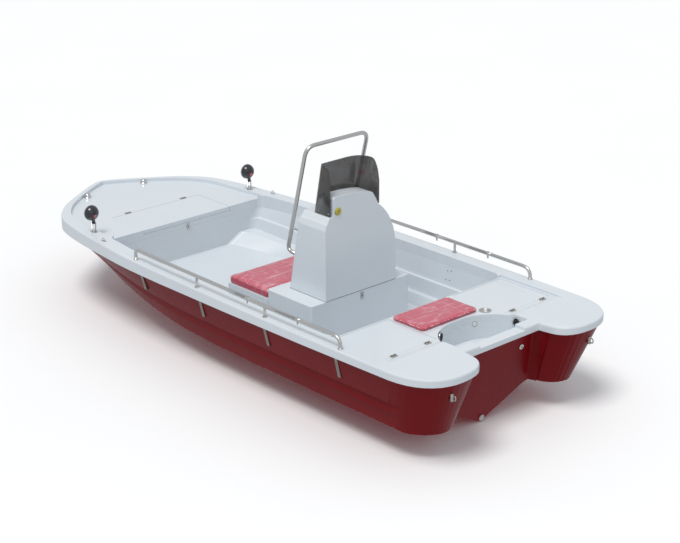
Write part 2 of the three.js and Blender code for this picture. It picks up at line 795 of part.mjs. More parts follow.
// ---------------------------------------------------------------- console
const consoleFrontX = consoleAftX + consoleBaseLength;
const towerFrontX = consoleAftX + towerLength;
const towerBaseZ = consoleBaseTopZ + touchGap;

function consoleBase() {
  const outline = roundedRectangle(consoleAftX, consoleFrontX, -consoleBaseHalfWidth, consoleBaseHalfWidth, 22, 4);
  const shell = prism(outline, soleZ + touchGap, consoleBaseTopZ);
  const inside = roundedRectangle(
    consoleAftX + skin, consoleFrontX - skin,
    -consoleBaseHalfWidth + skin, consoleBaseHalfWidth - skin, 14, 3,
  );
  const hollow = prism(inside, soleZ - 20, consoleBaseTopZ - skin);
  const hatch = roundedRectangle(
    consoleAftX + 45, towerFrontX - 50, -towerHalfWidth + 50, towerHalfWidth - 50, 30, 3,
  );
  return shell.subtract(hollow).subtract(prism(hatch, consoleBaseTopZ - 40, consoleBaseTopZ + 20));
}

function frontSeatBase() {
  const x0 = consoleFrontX + touchGap;
  const x1 = x0 + seatLength;
  const half = consoleBaseHalfWidth - 6;
  const shell = prism(roundedRectangle(x0, x1, -half, half, 18, 3), soleZ + touchGap, seatTopZ);
  const hollow = prism(roundedRectangle(x0 + skin, x1 - skin, -half + skin, half - skin, 10, 3), soleZ - 20, seatTopZ - skin);
  return shell.subtract(hollow);
}

// Aft face of the tower as [y, z] pairs; the starboard shoulder falls away in a long curve.
function towerFace(grow) {
  const half = towerHalfWidth + grow;
  const base = grow === 0 ? towerBaseZ : towerBaseZ - 40;
  const shoulder = towerShoulderZ + grow;
  const fall = new THREE.CubicBezierCurve(
    new THREE.Vector2(-podStarboardY - grow * 0.6, shoulder),
    new THREE.Vector2(-podStarboardY - 100, shoulder - 78),
    new THREE.Vector2(-half, shoulder - 190),
    new THREE.Vector2(-half, shoulder - 370),
  ).getPoints(8);
  return [
    [half, base],
    [half + 2, shoulder - 84],
    [half - 10, shoulder - 44],
    [half - 22, shoulder - 32],
    [half - 30, shoulder - 12],
    [half - 42, shoulder],
    ...fall.map((point) => [point.x, point.y]),
    [-half, base],
  ];
}

function podFace(grow) {
  const port = podPortY + grow;
  const starboard = podStarboardY - 2 + grow * 0.6;
  const top = towerTopZ + grow;
  const drop = towerShoulderZ - 30;
  return [
    [port, drop],
    [port, top - 36],
    [port - 10, top - 12],
    [port - 30, top],
    [port - 170, top - 6],
    [port - 275, top - 17],
    [port - 348, top - 32],
    [-starboard + 54, top - 44],
    [-starboard + 34, top - 76],
    [-starboard, towerShoulderZ],
    [-starboard, drop],
  ];
}

// A prism on a face of [y, z] pairs from x0 forward to a front that leans aft as it rises.
function facePrism(face, x0, frontAt) {
  const aft = face.map(([y, z]) => at(x0, y, z));
  const front = face.map(([y, z]) => at(frontAt(z), y, z));
  return loft([aft, front]);
}

const towerFront = (z) => towerFrontX - (z - consoleBaseTopZ) * towerFrontLean;

// The screen's foot in plan, from the port wing round the front to the starboard wing.
function screenPath() {
  const path = new THREE.Path();
  const wingX = consoleAftX + screenSlot;
  const frontX = consoleAftX + screenFrontOffset;
  const port = podPortY + 10;
  const starboard = -podStarboardY - 10;
  path.moveTo(wingX, port);
  path.lineTo(frontX - 34, port);
  path.quadraticCurveTo(frontX, port, frontX, port - 34);
  path.lineTo(frontX, starboard + 120);
  path.bezierCurveTo(frontX, starboard + 50, frontX - 46, starboard, frontX - 105, starboard);
  path.lineTo(wingX - 4, starboard);
  return path;
}

// Everything inside the screen, a reveal clear of its inner face.
function insideScreen(reveal) {
  const points = screenPath().getSpacedPoints(24);
  const inner = points.map((point, i) => {
    const before = points[Math.max(i - 1, 0)];
    const side = points[Math.min(i + 1, points.length - 1)].clone().sub(before).normalize();
    const inset = screenThickness + reveal;
    return [point.x + side.y * inset, point.y - side.x * inset];
  });
  const backX = consoleAftX - 20;
  const outline = [[backX, inner[0][1]], ...inner, [backX, inner.at(-1)[1]]];
  return prism(outline.reverse(), 0, 2000);
}

function consoleTower() {
  const podFront = (z) => consoleAftX + podLength + (towerTopZ - z) * podSlope;
  const outer = facePrism(towerFace(0), consoleAftX, towerFront);
  const pod = facePrism(podFace(0), consoleAftX, podFront).intersect(insideScreen(screenReveal));
  const inner = facePrism(towerFace(-towerWall), consoleAftX + towerWall, (z) => towerFront(z) - towerWall);
  const podInner = facePrism(podFace(-towerWall), consoleAftX + towerWall, (z) => podFront(z) - towerWall)
    .intersect(insideScreen(screenReveal + towerWall));
  const corner = roundedRectangle(consoleAftX, towerFrontX + 30, -towerHalfWidth - 4, towerHalfWidth + 4, 44, 6);
  const trim = (lift) => corner.map(([x, y]) => at(Math.min(x, x - lift * towerFrontLean * clamp01((x - consoleAftX) / 60)), y, consoleBaseTopZ + lift));
  const rounding = loft([trim(-100), trim(1000)]).add(box(consoleAftX - 1, consoleAftX + 60, -400, 400, 0, 1400));
  return outer.intersect(rounding).add(pod).subtract(inner).subtract(podInner);
}

function windscreen() {
  const points = screenPath().getSpacedPoints(44);
  const total = points.length - 1;
  const footZ = towerShoulderZ + 1;
  const topAt = (share) => {
    const portRise = clamp01(share / 0.13);
    const fall = clamp01((share - 0.55) / 0.45);
    const rounded = screenTopZ - 105 * (1 - Math.sqrt(1 - (1 - portRise) ** 2));
    const lowered = rounded - 62 * fall ** 1.6;
    const end = clamp01((share - 0.84) / 0.16);
    return lowered - 118 * (1 - Math.sqrt(Math.max(1 - end ** 2.2, 0)));
  };
  const columns = points.map((point, i) => {
    const before = points[Math.max(i - 1, 0)];
    const after = points[Math.min(i + 1, total)];
    const side = after.clone().sub(before).normalize();
    const inward = new THREE.Vector2(side.y, -side.x);
    const share = i / total;
    const lean = (z) => -(z - towerShoulderZ) * 0.2 * clamp01((point.x - consoleAftX - 12) / 150);
    const corner = (offset, z) => at(point.x + inward.x * offset + lean(z), point.y + inward.y * offset, z);
    const top = topAt(share);
    return [corner(0, footZ), corner(screenThickness, footZ), corner(screenThickness, top), corner(0, top)];
  });
  return loft(columns);
}

function grabRail() {
  const lean = 0.26;
  const lowZ = towerShoulderZ - hoopFootDrop;
  const lowX = towerFront(lowZ) + hoopStandoff;
  const xAt = (z) => lowX - (z - lowZ) * lean;
  const half = hoopHalfWidth;
  const footZ = lowZ - 28;
  const footX = towerFront(footZ) - 4;
  const corners = [
    at(footX, half, footZ - 4),
    at(lowX + 6, half, lowZ - 14),
    at(xAt(hoopTopZ), half, hoopTopZ),
    at(xAt(hoopTopZ), -half, hoopTopZ),
    at(lowX + 6, -half, lowZ - 14),
    at(footX, -half, footZ - 4),
  ];
  const hoop = bar(bentPath(corners, [34, 76, 76, 34], 7), hoopTubeRadius, 16);
  const stayZ = towerShoulderZ - stayDrop;
  const stay = cylinder(7, xAt(stayZ) - towerFront(stayZ) - 1, 10, 'x', at((xAt(stayZ) + towerFront(stayZ) + 1) / 2, half, stayZ));
  return seated(union([hoop, stay, mirrored(stay)]), towerBody, at(1, 0, 0));
}

function helmCap() {
  const place = new THREE.Matrix4().makeTranslation(consoleAftX - touchGap, podPortY - helmCapInset, towerTopZ - helmCapDrop)
    .multiply(new THREE.Matrix4().makeRotationY(-Math.PI / 2));
  return turned([[0, 0], [27, 0], [27, 5], [24, 9], [9, 10], [0, 10]], 24, place);
}

// ---------------------------------------------------------------- cushions
function cushion(x0, x1, y0, y1, z0, thickness, corner) {
  const ring = (inset, z) => roundedRectangle(x0 + inset, x1 - inset, y0 + inset, y1 - inset, corner, 4)
    .map(([x, y]) => at(x, y, z));
  return loft([ring(4, z0), ring(0, z0 + thickness * 0.3), ring(0, z0 + thickness * 0.75), ring(7, z0 + thickness)]);
}

// ---------------------------------------------------------------- rails
function rail() {
  const tubeZ = deckHeight + railHeight;
  const yAt = (x) => deckHalf(x) - railInset;
  const foot = (x) => at(x, yAt(x), deckHeight + touchGap);
  const span = railFrontX - railAftX;
  const inner = [1, 2, 3, 4, 5].map((i) => {
    const x = railAftX + span * i / 6;
    return at(x, yAt(x), tubeZ);
  });
  const corners = [foot(railFrontX), at(railFrontX, yAt(railFrontX), tubeZ), ...inner.reverse(),
    at(railAftX, yAt(railAftX), tubeZ), foot(railAftX)];
  const radii = [railFrontBend, 200, 200, 200, 200, 200, railAftBend];
  const tube = bar(bentPath(corners, radii, 5), railTubeRadius, 12);
  const flange = (x) => cylinder(railFootRadius, 5, 20, 'z', at(x, yAt(x), deckHeight + touchGap + 2.5));
  const post = (x) => cylinder(railPostRadius, railHeight, 10, 'z', at(x, yAt(x), deckHeight + touchGap + railHeight / 2))
    .add(flange(x));
  const posts = [1, 2].map((i) => post(railAftX + span * i / 3));
  const eyes = railEyeShares.map((share) => {
    const x = railAftX + span * share;
    const collar = cylinder(railTubeRadius + 3, 14, 14, 'x', at(x, yAt(x), tubeZ));
    const tab = box(x - 5, x + 5, yAt(x) - 3, yAt(x) + 3, tubeZ - 36, tubeZ - 8);
    return collar.add(tab);
  });
  return union([tube, flange(railFrontX), flange(railAftX), ...posts, ...eyes]);
}

// ---------------------------------------------------------------- lamps
const lampX = cockpitFrontX + lampSetback;
const lampY = deckHalf(lampX) - lampInset;
const lampPivotZ = deckHeight + lampPivotHeight;
const lampCentreZ = deckHeight + lampHeight;
const forkHalfGap = 13;

function lampFork() {
  const plate = prism(roundedRectangle(lampX - 32, lampX + 32, lampY - 21, lampY + 21, 20, 5), deckHeight + touchGap, deckHeight + 4);
  const leg = (side) => {
    const top = at(lampX, lampY + side * (forkHalfGap + 4), lampPivotZ + 4.5);
    const foot = at(lampX, lampY + side * (forkHalfGap + 2), deckHeight + 2);
    return bar([foot, top], 4.5, 8);
  };
  const pin = cylinder(3, forkHalfGap * 2 + 8, 8, 'y', at(lampX, lampY, lampPivotZ));
  return union([plate, leg(1), leg(-1), pin]);
}

function lampHead() {
  const place = new THREE.Matrix4().makeTranslation(lampX - 30, lampY, lampCentreZ)
    .multiply(new THREE.Matrix4().makeRotationY(Math.PI / 2));
  const r = lampRadius;
  const body = turned([
    [0, 0], [r * 0.34, 3], [r * 0.62, 11], [r * 0.86, 26], [r, 45], [r, 56], [r * 0.93, 61], [r * 0.5, 65], [0, 66],
  ], 24, place);
  const lug = cylinder(9, forkHalfGap * 2 - 6, 16, 'y', at(lampX, lampY, lampPivotZ));
  const neck = box(lampX - 8, lampX + 8, lampY - 9, lampY + 9, lampPivotZ, lampCentreZ - lampRadius + 16);
  const bore = cylinder(3.4, 60, 12, 'y', at(lampX, lampY, lampPivotZ));
  return union([body, lug, neck]).subtract(bore);
}

// ---------------------------------------------------------------- small fittings
function navLight() {
  const x = bowX - navLightSetbackShare * boatLength;
  const place = new THREE.Matrix4().makeTranslation(x, deckHalf(x) - navLightInset, foredeckZ + touchGap);
  return turned([[0, 0], [30, 0], [30, 5], [25, 9], [24, 18], [18, 29], [9, 35], [0, 37]], 24, place);
}

function padEye() {
  const x = cockpitFrontX - padEyeSetback;
  const y = deckHalf(x) - padEyeInset;
  const plate = box(x - 22, x + 22, y - 8, y + 8, deckHeight + touchGap, deckHeight + 3.3);
  const corners = [at(x - 13, y, deckHeight + 2), at(x - 13, y, deckHeight + 22), at(x + 13, y, deckHeight + 22), at(x + 13, y, deckHeight + 2)];
  return plate.add(bar(bentPath(corners, [10, 10], 4), 3, 8));
}

function hullSideY(z, x) {
  const outer = hullPoint([x, 764, -10]);
  const top = deckHalf(x) - bandOverhang;
  return lerp(outer.y, top, (z - outer.z) / (bandBottom(x) + skin - outer.z));
}

function hullStrap(index, place, sign) {
  const x = aftX + strapSetback + index * (railFrontX - railAftX - 110) / (strapCount - 1);
  const forward = clamp01((x - 200) / 340);
  const z0 = deckHeight - strapFootDrop;
  const z1 = bandBottom(x) - 6;
  const dy = -8 * forward;
  const outline = [
    [hullSideY(z0, x) - 30, z0],
    [hullSideY(z0, x) + stepLedge / 2 + 4.5 + dy, z0],
    [hullSideY(z1, x) + 4.5, z1],
    [hullSideY(z1, x) - 30, z1],
  ];
  const strap = loft([-strapHalfWidth, strapHalfWidth].map((offset) => outline.map(([y, z]) => at(x + offset, y, z))));
  return seated(place(strap), hullBody, at(0, sign, 0));
}

function sternEye(place) {
  const x = aftX + sternEyeSetback;
  const y = lerp(slotHalfWidth, 764 * halfBeam / designHalfBeam, sternEyeShare);
  const z = deckHeight - sternEyeDrop;
  const corners = [
    at(x + 40, y, z + sternEyeHalf),
    at(x - sternEyeReach, y, z + sternEyeHalf),
    at(x - sternEyeReach, y, z - sternEyeHalf),
    at(x + 40, y, z - sternEyeHalf),
  ];
  const plate = bar([at(x - 6, y, z - 26), at(x - 6, y, z + 26)], 11, 12);
  const eye = plate.add(bar(bentPath(corners, [12, 12], 4), 4, 8));
  return seated(place(eye), hullBody, at(-1, 0, 0));
}

function transomX(z) {
  const rake = Math.tan(THREE.MathUtils.degToRad(transomRakeDeg));
  return slotX + transomInset + (bandBottom(slotX) - z) * rake;
}

function onTransom(y, z) {
  return new THREE.Matrix4().makeTranslation(transomX(z) - 1, y, z)
    .multiply(new THREE.Matrix4().makeRotationY(-Math.PI / 2 - THREE.MathUtils.degToRad(transomRakeDeg)));
}

function drainPlug() {
  return turned([[0, 0], [22, 0], [22, 5], [15, 7], [14, 16], [0, 16]], 18, onTransom(0, -keelDraft + plugRise));
}

function wellDrain() {
  return turned([[10, 0], [18, 0], [18, 4], [14, 7], [10, 7], [10, 0]], 18, onTransom(drainY, deckHeight - drainDrop));
}

// A round cable boot: a chrome lip round a sunk rubber face.
function riggingRing(place) {
  const inner = ringRadius - ringLip;
  return turned([
    [0, 0], [ringRadius, 0], [ringRadius, 3], [inner + 3, 6], [inner, 6], [inner - 2, 3], [0, 3],
  ], 28, place);
}

// The port ring lies on the bowed front wall of the well.
function portRingPlace() {
  const outline = wellOutline(0).filter(([x, y]) => y > 0 && x > slotX + capLength + 1);
  const after = outline.findIndex(([, y]) => y > ringY);
  const [near, far] = [outline[after - 1], outline[after]];
  const share = (ringY - near[1]) / (far[1] - near[1]);
  const angle = Math.atan2(near[0] - far[0], far[1] - near[1]);
  return new THREE.Matrix4()
    .makeTranslation(lerp(near[0], far[0], share), ringY, aftDeckZ - ringDrop)
    .multiply(new THREE.Matrix4().makeRotationZ(angle))
    .multiply(new THREE.Matrix4().makeTranslation(-ringStandoff, 0, 0))
    .multiply(new THREE.Matrix4().makeRotationY(-Math.PI / 2));
}

// The starboard ring lies on the side wall, where the cables turn aft.
function starboardRingPlace() {
  return new THREE.Matrix4()
    .makeTranslation(slotX + capLength + ringSetback, -wellHalfWidth + touchGap, aftDeckZ - ringDrop + 8)
    .multiply(new THREE.Matrix4().makeRotationX(-Math.PI / 2));
}

function cupHolder() {
  const place = new THREE.Matrix4().makeTranslation(cupX, cupY, aftDeckZ);
  const r = cupRadius - touchGap;
  return turned([
    [0, -cupDepth], [r - 4, -cupDepth], [r - 4, touchGap], [r + 8, touchGap], [r + 8, 3], [r - 3, 3.5],
    [r - 5.5, 2], [r - 5.5, -cupDepth + 2], [0, -cupDepth + 2], [0, -cupDepth],
  ], 24, place);
}

function bowEye() {
  const x = bowX - bowEyeSetback;
  const z = deckHeight - bowEyeDrop;
  const corners = [at(x, 0, z), at(x + 82, 0, z - 32), at(x + 62, 0, z - 80), at(x - 18, 0, z - 48)];
  return seated(bar(bentPath(corners, [16, 16], 4), 5, 8), hullBody, at(0.9, 0, -0.4));
}

// ---------------------------------------------------------------- assembly
const hullBody = hull();
addPiece('hull', hullBody, redGelcoat);
addPiece('deck', deck(), whiteGelcoat);
addPiece('cockpit_liner', tub(cockpitSpace), whiteGelcoat);
addPiece('fore_locker', tub(foreLockerSpace), whiteGelcoat);
addPiece('port_aft_locker', tub(aftLockerSpace), whiteGelcoat);
addPiece('starboard_aft_locker', mirrored(tub(aftLockerSpace)), whiteGelcoat);
addPiece('motor_well', tub(wellSpace), whiteGelcoat);
addPiece('foredeck_hatch', foredeckHatch(), whiteGelcoat);
addPiece('port_aft_lid', aftLid(), whiteGelcoat);
addPiece('starboard_aft_lid', mirrored(aftLid()), whiteGelcoat);

for (const [side, sign] of [['port', 1], ['starboard', -1]]) {
  addPiece(`hatch_hinge_${side}`, hinge(hatchHinge.clone().setY(sign * (hatchHalfWidth - hatchHingeInset)), 1), steel);
  addPiece(`aft_hinge_${side}_outer`, hinge(aftHinge.clone().setY(sign * (aftLidOuterY - lidHingeOuterInset)), -1), steel);
  addPiece(`aft_hinge_${side}_inner`, hinge(aftHinge.clone().setY(sign * (aftLidInnerY + lidHingeInnerInset)), -1), steel);
}
addPiece('hatch_latch', hasp(hatchBackX, 0, foredeckZ - hatchLip, -1), steel);

addPiece('console_base', consoleBase(), whiteGelcoat);
addPiece('front_seat_base', frontSeatBase(), whiteGelcoat);
const towerBody = consoleTower();
addPiece('console_tower', towerBody, whiteGelcoat);
addPiece('windscreen', windscreen(), smokedAcrylic);
addPiece('console_grab_rail', grabRail(), steel);
addPiece('helm_cap', helmCap(), yellowPlastic);
addPiece('console_latch', hasp(consoleAftX, consoleLatchY, consoleBaseTopZ - 2, -1), steel);

const frontCushionX = consoleFrontX + cushionClearance;
addPiece('front_cushion', cushion(
  frontCushionX, frontCushionX + seatLength - 4,
  -consoleBaseHalfWidth + 4, consoleBaseHalfWidth - 4,
  seatTopZ + touchGap, frontCushionThickness, 24,
), redVinyl);
const aftCushionX = cockpitAftX - 28;
addPiece('aft_cushion', cushion(
  aftCushionX - aftCushionLength, aftCushionX,
  -aftCushionStarboardY, aftLidInnerY - 3,
  aftDeckZ + touchGap, aftCushionThickness, aftCushionCorner,
), redVinyl);

for (const [side, place] of [['port', (piece) => piece], ['starboard', mirrored]]) {
  addPiece(`${side}_rail`, place(rail()), steel);
  addPiece(`${side}_lamp_fork`, place(lampFork()), steel);
  addPiece(`${side}_lamp`, place(lampHead()), blackPlastic);
  addPiece(`${side}_nav_light`, place(navLight()), steel);
  addPiece(`${side}_pad_eye`, place(padEye()), steel);
  addPiece(`${side}_stern_eye`, sternEye(place), steel);
  for (let i = 0; i < strapCount; i += 1) {
    addPiece(`${side}_hull_strap_${i + 1}`, hullStrap(i, place, side === 'port' ? 1 : -1), steel);
  }
}
addPiece('port_rigging_ring', riggingRing(portRingPlace()), steel);
addPiece('starboard_rigging_ring', riggingRing(starboardRingPlace()), steel);
addPiece('drain_plug', drainPlug(), steel);
addPiece('well_drain', wellDrain(), whitePlastic);
addPiece('cup_holder', cupHolder(), steel);
addPiece('bow_eye', bowEye(), steel);

export default boat;
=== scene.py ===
"""Looks of a bass fishing boat, laid out as an add-on and run as a script."""

import math

import bmesh
import bpy
from bpy.props import FloatProperty, FloatVectorProperty, IntProperty, PointerProperty
from mathutils import Matrix, Vector
from mathutils.bvhtree import BVHTree


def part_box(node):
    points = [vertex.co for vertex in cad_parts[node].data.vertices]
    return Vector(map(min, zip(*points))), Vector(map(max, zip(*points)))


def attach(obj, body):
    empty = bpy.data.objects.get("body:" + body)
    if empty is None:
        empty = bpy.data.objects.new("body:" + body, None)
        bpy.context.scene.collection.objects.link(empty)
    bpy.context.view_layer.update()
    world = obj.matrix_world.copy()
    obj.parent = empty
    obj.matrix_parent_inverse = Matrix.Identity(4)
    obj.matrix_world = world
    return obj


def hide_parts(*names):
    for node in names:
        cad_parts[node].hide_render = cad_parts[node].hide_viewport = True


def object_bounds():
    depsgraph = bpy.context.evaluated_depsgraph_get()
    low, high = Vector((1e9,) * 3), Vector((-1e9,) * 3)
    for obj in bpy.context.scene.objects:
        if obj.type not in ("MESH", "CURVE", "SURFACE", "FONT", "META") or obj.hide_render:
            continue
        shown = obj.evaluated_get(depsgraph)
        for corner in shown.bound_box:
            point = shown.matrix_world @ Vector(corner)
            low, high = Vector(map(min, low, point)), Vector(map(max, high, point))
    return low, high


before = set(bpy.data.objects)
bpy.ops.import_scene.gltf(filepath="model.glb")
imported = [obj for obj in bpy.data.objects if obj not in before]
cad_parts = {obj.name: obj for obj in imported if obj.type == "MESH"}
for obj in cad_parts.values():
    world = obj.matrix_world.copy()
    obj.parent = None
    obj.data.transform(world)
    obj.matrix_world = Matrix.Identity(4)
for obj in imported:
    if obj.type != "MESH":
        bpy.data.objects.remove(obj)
cad_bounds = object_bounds()

bl_info = {
    "name": "Bass boat",
    "version": (1, 0, 0),
    "blender": (4, 5, 0),
    "location": "3D View > Sidebar > Boat",
    "description": "Finishes the hull, deck, console, cushions and fittings of a small fishing boat",
    "category": "Object",
}

WHITE, RED, STEEL, VINYL = "white_gelcoat", "red_gelcoat", "stainless", "vinyl"
SMOKED, BLACK, YELLOW, PLASTIC = "smoked_acrylic", "black_plastic", "yellow_plastic", "white_plastic"
SIDES = {"port": 1, "starboard": -1}
BOAT = "boat"
VIEW_PLACE = (-8.511, 7.265, 4.564)
VIEW_ANGLES = (-42.53, 20.84, -0.18)
LENS = 89.02
LENS_SHIFT = (-0.003823529, -0.000735294)
KEY_DIRECTION = (0.12, -0.40, -0.91)


# ------------------------------------------------------------------ user settings
class BoatColours(bpy.types.PropertyGroup):
    white: FloatVectorProperty(
        name="White gelcoat", description="Deck, liner and console", subtype="COLOR",
        default=(0.665, 0.712, 0.755), min=0, max=1)
    red: FloatVectorProperty(
        name="Red gelcoat", description="Hull below the white band", subtype="COLOR",
        default=(0.19, 0.0022, 0.0055), min=0, max=1)
    vinyl: FloatVectorProperty(
        name="Cushion vinyl", description="Covers under their clear film", subtype="COLOR",
        default=(0.50, 0.050, 0.090), min=0, max=1)
    cap: FloatVectorProperty(
        name="Helm cap", description="Round cap on the helm pod", subtype="COLOR",
        default=(0.42, 0.36, 0.045), min=0, max=1)


class BoatSizes(bpy.types.PropertyGroup):
    edge: FloatProperty(
        name="Moulded edge", description="Radius of the edges of moulded parts",
        default=0.004, min=0.0005, max=0.02, unit="LENGTH")
    seam_radius: FloatProperty(
        name="Welt radius", description="Radius of the piped seam round a cushion",
        default=0.0028, min=0.0005, max=0.01, unit="LENGTH")
    stitch_length: FloatProperty(
        name="Stitch spacing", description="Distance between stitches along a seam",
        default=0.009, min=0.003, max=0.03, unit="LENGTH")
    screw_radius: FloatProperty(
        name="Screw head radius", description="Radius of the pan heads on the fittings",
        default=0.0042, min=0.001, max=0.01, unit="LENGTH")
    fill_frames: IntProperty(
        name="Filling steps", description="Steps of cloth simulation that fill a cushion",
        default=20, min=1, max=60)


class BoatStudio(bpy.types.PropertyGroup):
    key_power: FloatProperty(
        name="Key light", description="Strength of the broad light over the port side",
        default=1.75, min=0, max=50)
    fill_power: FloatProperty(
        name="Fill light", description="Power of the soft light astern",
        default=60.0, min=0, max=20000, unit="POWER")
    sky: FloatProperty(
        name="Sky", description="Strength of the even light from all round", default=0.62, min=0, max=5)


# ------------------------------------------------------------------ shader building
class Value:
    """An output socket that takes part in Python expressions."""

    def __init__(self, build, socket):
        self.build = build
        self.socket = socket

    def maths(self, operation, first, second=None, clamp=False):
        values = {0: first} if second is None else {0: first, 1: second}
        return self.build.node("ShaderNodeMath", {"operation": operation, "use_clamp": clamp}, values)

    def __add__(self, other):
        return self.maths("ADD", self, other)

    def __radd__(self, other):
        return self.maths("ADD", other, self)

    def __sub__(self, other):
        return self.maths("SUBTRACT", self, other)

    def __rsub__(self, other):
        return self.maths("SUBTRACT", other, self)

    def __mul__(self, other):
        return self.maths("MULTIPLY", self, other)

    def __rmul__(self, other):
        return self.maths("MULTIPLY", other, self)

    def __truediv__(self, other):
        return self.maths("DIVIDE", self, other)

    def __rtruediv__(self, other):
        return self.maths("DIVIDE", other, self)

    def __pow__(self, other):
        return self.maths("POWER", self, other)

    def __gt__(self, other):
        return self.maths("GREATER_THAN", self, other)

    def __lt__(self, other):
        return self.maths("LESS_THAN", self, other)

    def clamped(self):
        return self.maths("ADD", self, 0.0, clamp=True)

    def sine(self):
        return self.maths("SINE", self)

    def absolute(self):
        return self.maths("ABSOLUTE", self)


class Build:
    """One material, made node by node."""

    def __init__(self, name):
        self.material = bpy.data.materials.new(name)
        self.material.use_nodes = True
        self.tree = self.material.node_tree
        self.tree.nodes.clear()

    def node(self, kind, settings=None, values=None, out=0):
        made = self.tree.nodes.new(kind)
        for key, setting in (settings or {}).items():
            if key == "stops":
                self.set_stops(made.color_ramp, setting)
            else:
                setattr(made, key, setting)
        for key, value in (values or {}).items():
            if isinstance(value, Value):
                self.tree.links.new(value.socket, made.inputs[key])
            else:
                made.inputs[key].default_value = value
        return Value(self, made.outputs[out])

    @staticmethod
    def set_stops(ramp, stops):
        while len(ramp.elements) < len(stops):
            ramp.elements.new(0.5)
        for element, (position, tone) in zip(ramp.elements, stops):
            element.position = position
            element.color = (tone, tone, tone, 1) if isinstance(tone, float) else (*tone, 1)

    def place(self, scale=(1, 1, 1), turn=(0, 0, 0), shift=(0, 0, 0)):
        point = self.node("ShaderNodeTexCoord", out="Object")
        return self.node("ShaderNodeMapping", {}, {
            "Vector": point, "Scale": scale, "Rotation": turn, "Location": shift})

    def axes(self):
        point = self.node("ShaderNodeTexCoord", out="Object")
        parts = self.tree.nodes.new("ShaderNodeSeparateXYZ")
        self.tree.links.new(point.socket, parts.inputs[0])
        return [Value(self, output) for output in parts.outputs]

    def noise(self, vector, scale, detail=3.0, rough=0.5, warp=0.0):
        return self.node("ShaderNodeTexNoise", {}, {
            "Vector": vector, "Scale": scale, "Detail": detail, "Roughness": rough, "Distortion": warp})

    def ramp(self, value, *stops):
        return self.node("ShaderNodeValToRGB", {"stops": stops}, {"Fac": value})

    def mix(self, factor, first, second):
        wide = [(*tone, 1) if isinstance(tone, tuple) and len(tone) == 3 else tone for tone in (first, second)]
        return self.node("ShaderNodeMix", {"data_type": "RGBA"}, {0: factor, 6: wide[0], 7: wide[1]}, out=2)

    def bump(self, height, distance, strength=1.0, normal=None):
        values = {"Height": height, "Distance": distance, "Strength": strength}
        if normal is not None:
            values["Normal"] = normal
        return self.node("ShaderNodeBump", {}, values)

    def finish(self, values):
        wide = {key: (*value, 1) if isinstance(value, tuple) and len(value) == 3 else value
                for key, value in values.items()}
        shader = self.node("ShaderNodeBsdfPrincipled", {}, wide)
        self.node_output(shader)
        return self.material

    def node_output(self, shader):
        output = self.tree.nodes.new("ShaderNodeOutputMaterial")
        self.tree.links.new(shader.socket, output.inputs["Surface"])


def shade(tone, factor):
    return tuple(channel * factor for channel in tone)


def white_gelcoat():
    """Moulded white gelcoat: glossy, faintly uneven, with fine dust where hands and feet pass."""
    build = Build("White gelcoat")
    tone = tuple(bpy.context.scene.boat_colours.white)
    point = build.place()
    cloud = build.noise(point, 1.7, 4.0, 0.55)
    speck = build.noise(point, 260.0, 2.0, 0.6)
    scuff = build.noise(build.place((3.0, 14.0, 3.0), (0, 0, 0.5)), 6.0, 6.0, 0.7)
    scuff = build.ramp(scuff, (0.56, 0.0), (0.74, 1.0))
    colour = build.mix((cloud * 0.9).clamped(), shade(tone, 1.03), shade(tone, 0.955))
    colour = build.mix(scuff * 0.10, colour, shade((0.60, 0.60, 0.58), 1.0))
    peel = build.noise(point, 95.0, 2.0, 0.4)
    wave = build.noise(point, 4.2, 1.0, 0.3)
    normal = build.bump(wave, 0.004, 0.5)
    normal = build.bump(peel, 0.0004, 0.35, normal)
    return build.finish({
        "Base Color": colour,
        "Roughness": (0.24 + cloud * 0.12 + scuff * 0.2 + speck * 0.04).clamped(),
        "Normal": normal,
        "Coat Weight": (0.35 - scuff * 0.2).clamped(),
        "Coat Roughness": 0.12,
        "IOR": 1.52,
    })


def red_gelcoat():
    """Deep red gelcoat with long soft ripples, light chalking and faint rub marks low down."""
    build = Build("Red gelcoat")
    tone = tuple(bpy.context.scene.boat_colours.red)
    point = build.place()
    _, _, z = build.axes()
    cloud = build.noise(point, 2.2, 4.0, 0.55)
    streak = build.noise(build.place((2.0, 2.0, 0.35)), 9.0, 5.0, 0.65)
    low = (0.9 - (z + 0.2) * 3.0).clamped()
    chalk = build.ramp(streak, (0.55, 0.0), (0.8, 1.0))
    colour = build.mix((cloud * 1.1).clamped(), shade(tone, 1.12), shade(tone, 0.8))
    colour = build.mix((chalk * 0.08 + low * chalk * 0.16).clamped(), colour, (0.24, 0.03, 0.035))
    scratch = build.ramp(build.noise(build.place((0.6, 4.0, 30.0)), 14.0, 3.0, 0.6), (0.63, 0.0), (0.7, 1.0))
    colour = build.mix(scratch * low * 0.15, colour, (0.30, 0.08, 0.08))
    normal = build.bump(build.noise(point, 5.5, 1.5, 0.35), 0.004, 0.55)
    normal = build.bump(build.noise(point, 110.0, 2.0, 0.4), 0.0004, 0.3, normal)
    return build.finish({
        "Base Color": colour,
        "Roughness": (0.20 + cloud * 0.12 + chalk * 0.14 + scratch * 0.2).clamped(),
        "Normal": normal,
        "Coat Weight": (0.05 - chalk * 0.04).clamped(),
        "Coat Roughness": 0.08,
        "Specular IOR Level": 0.09,
    })


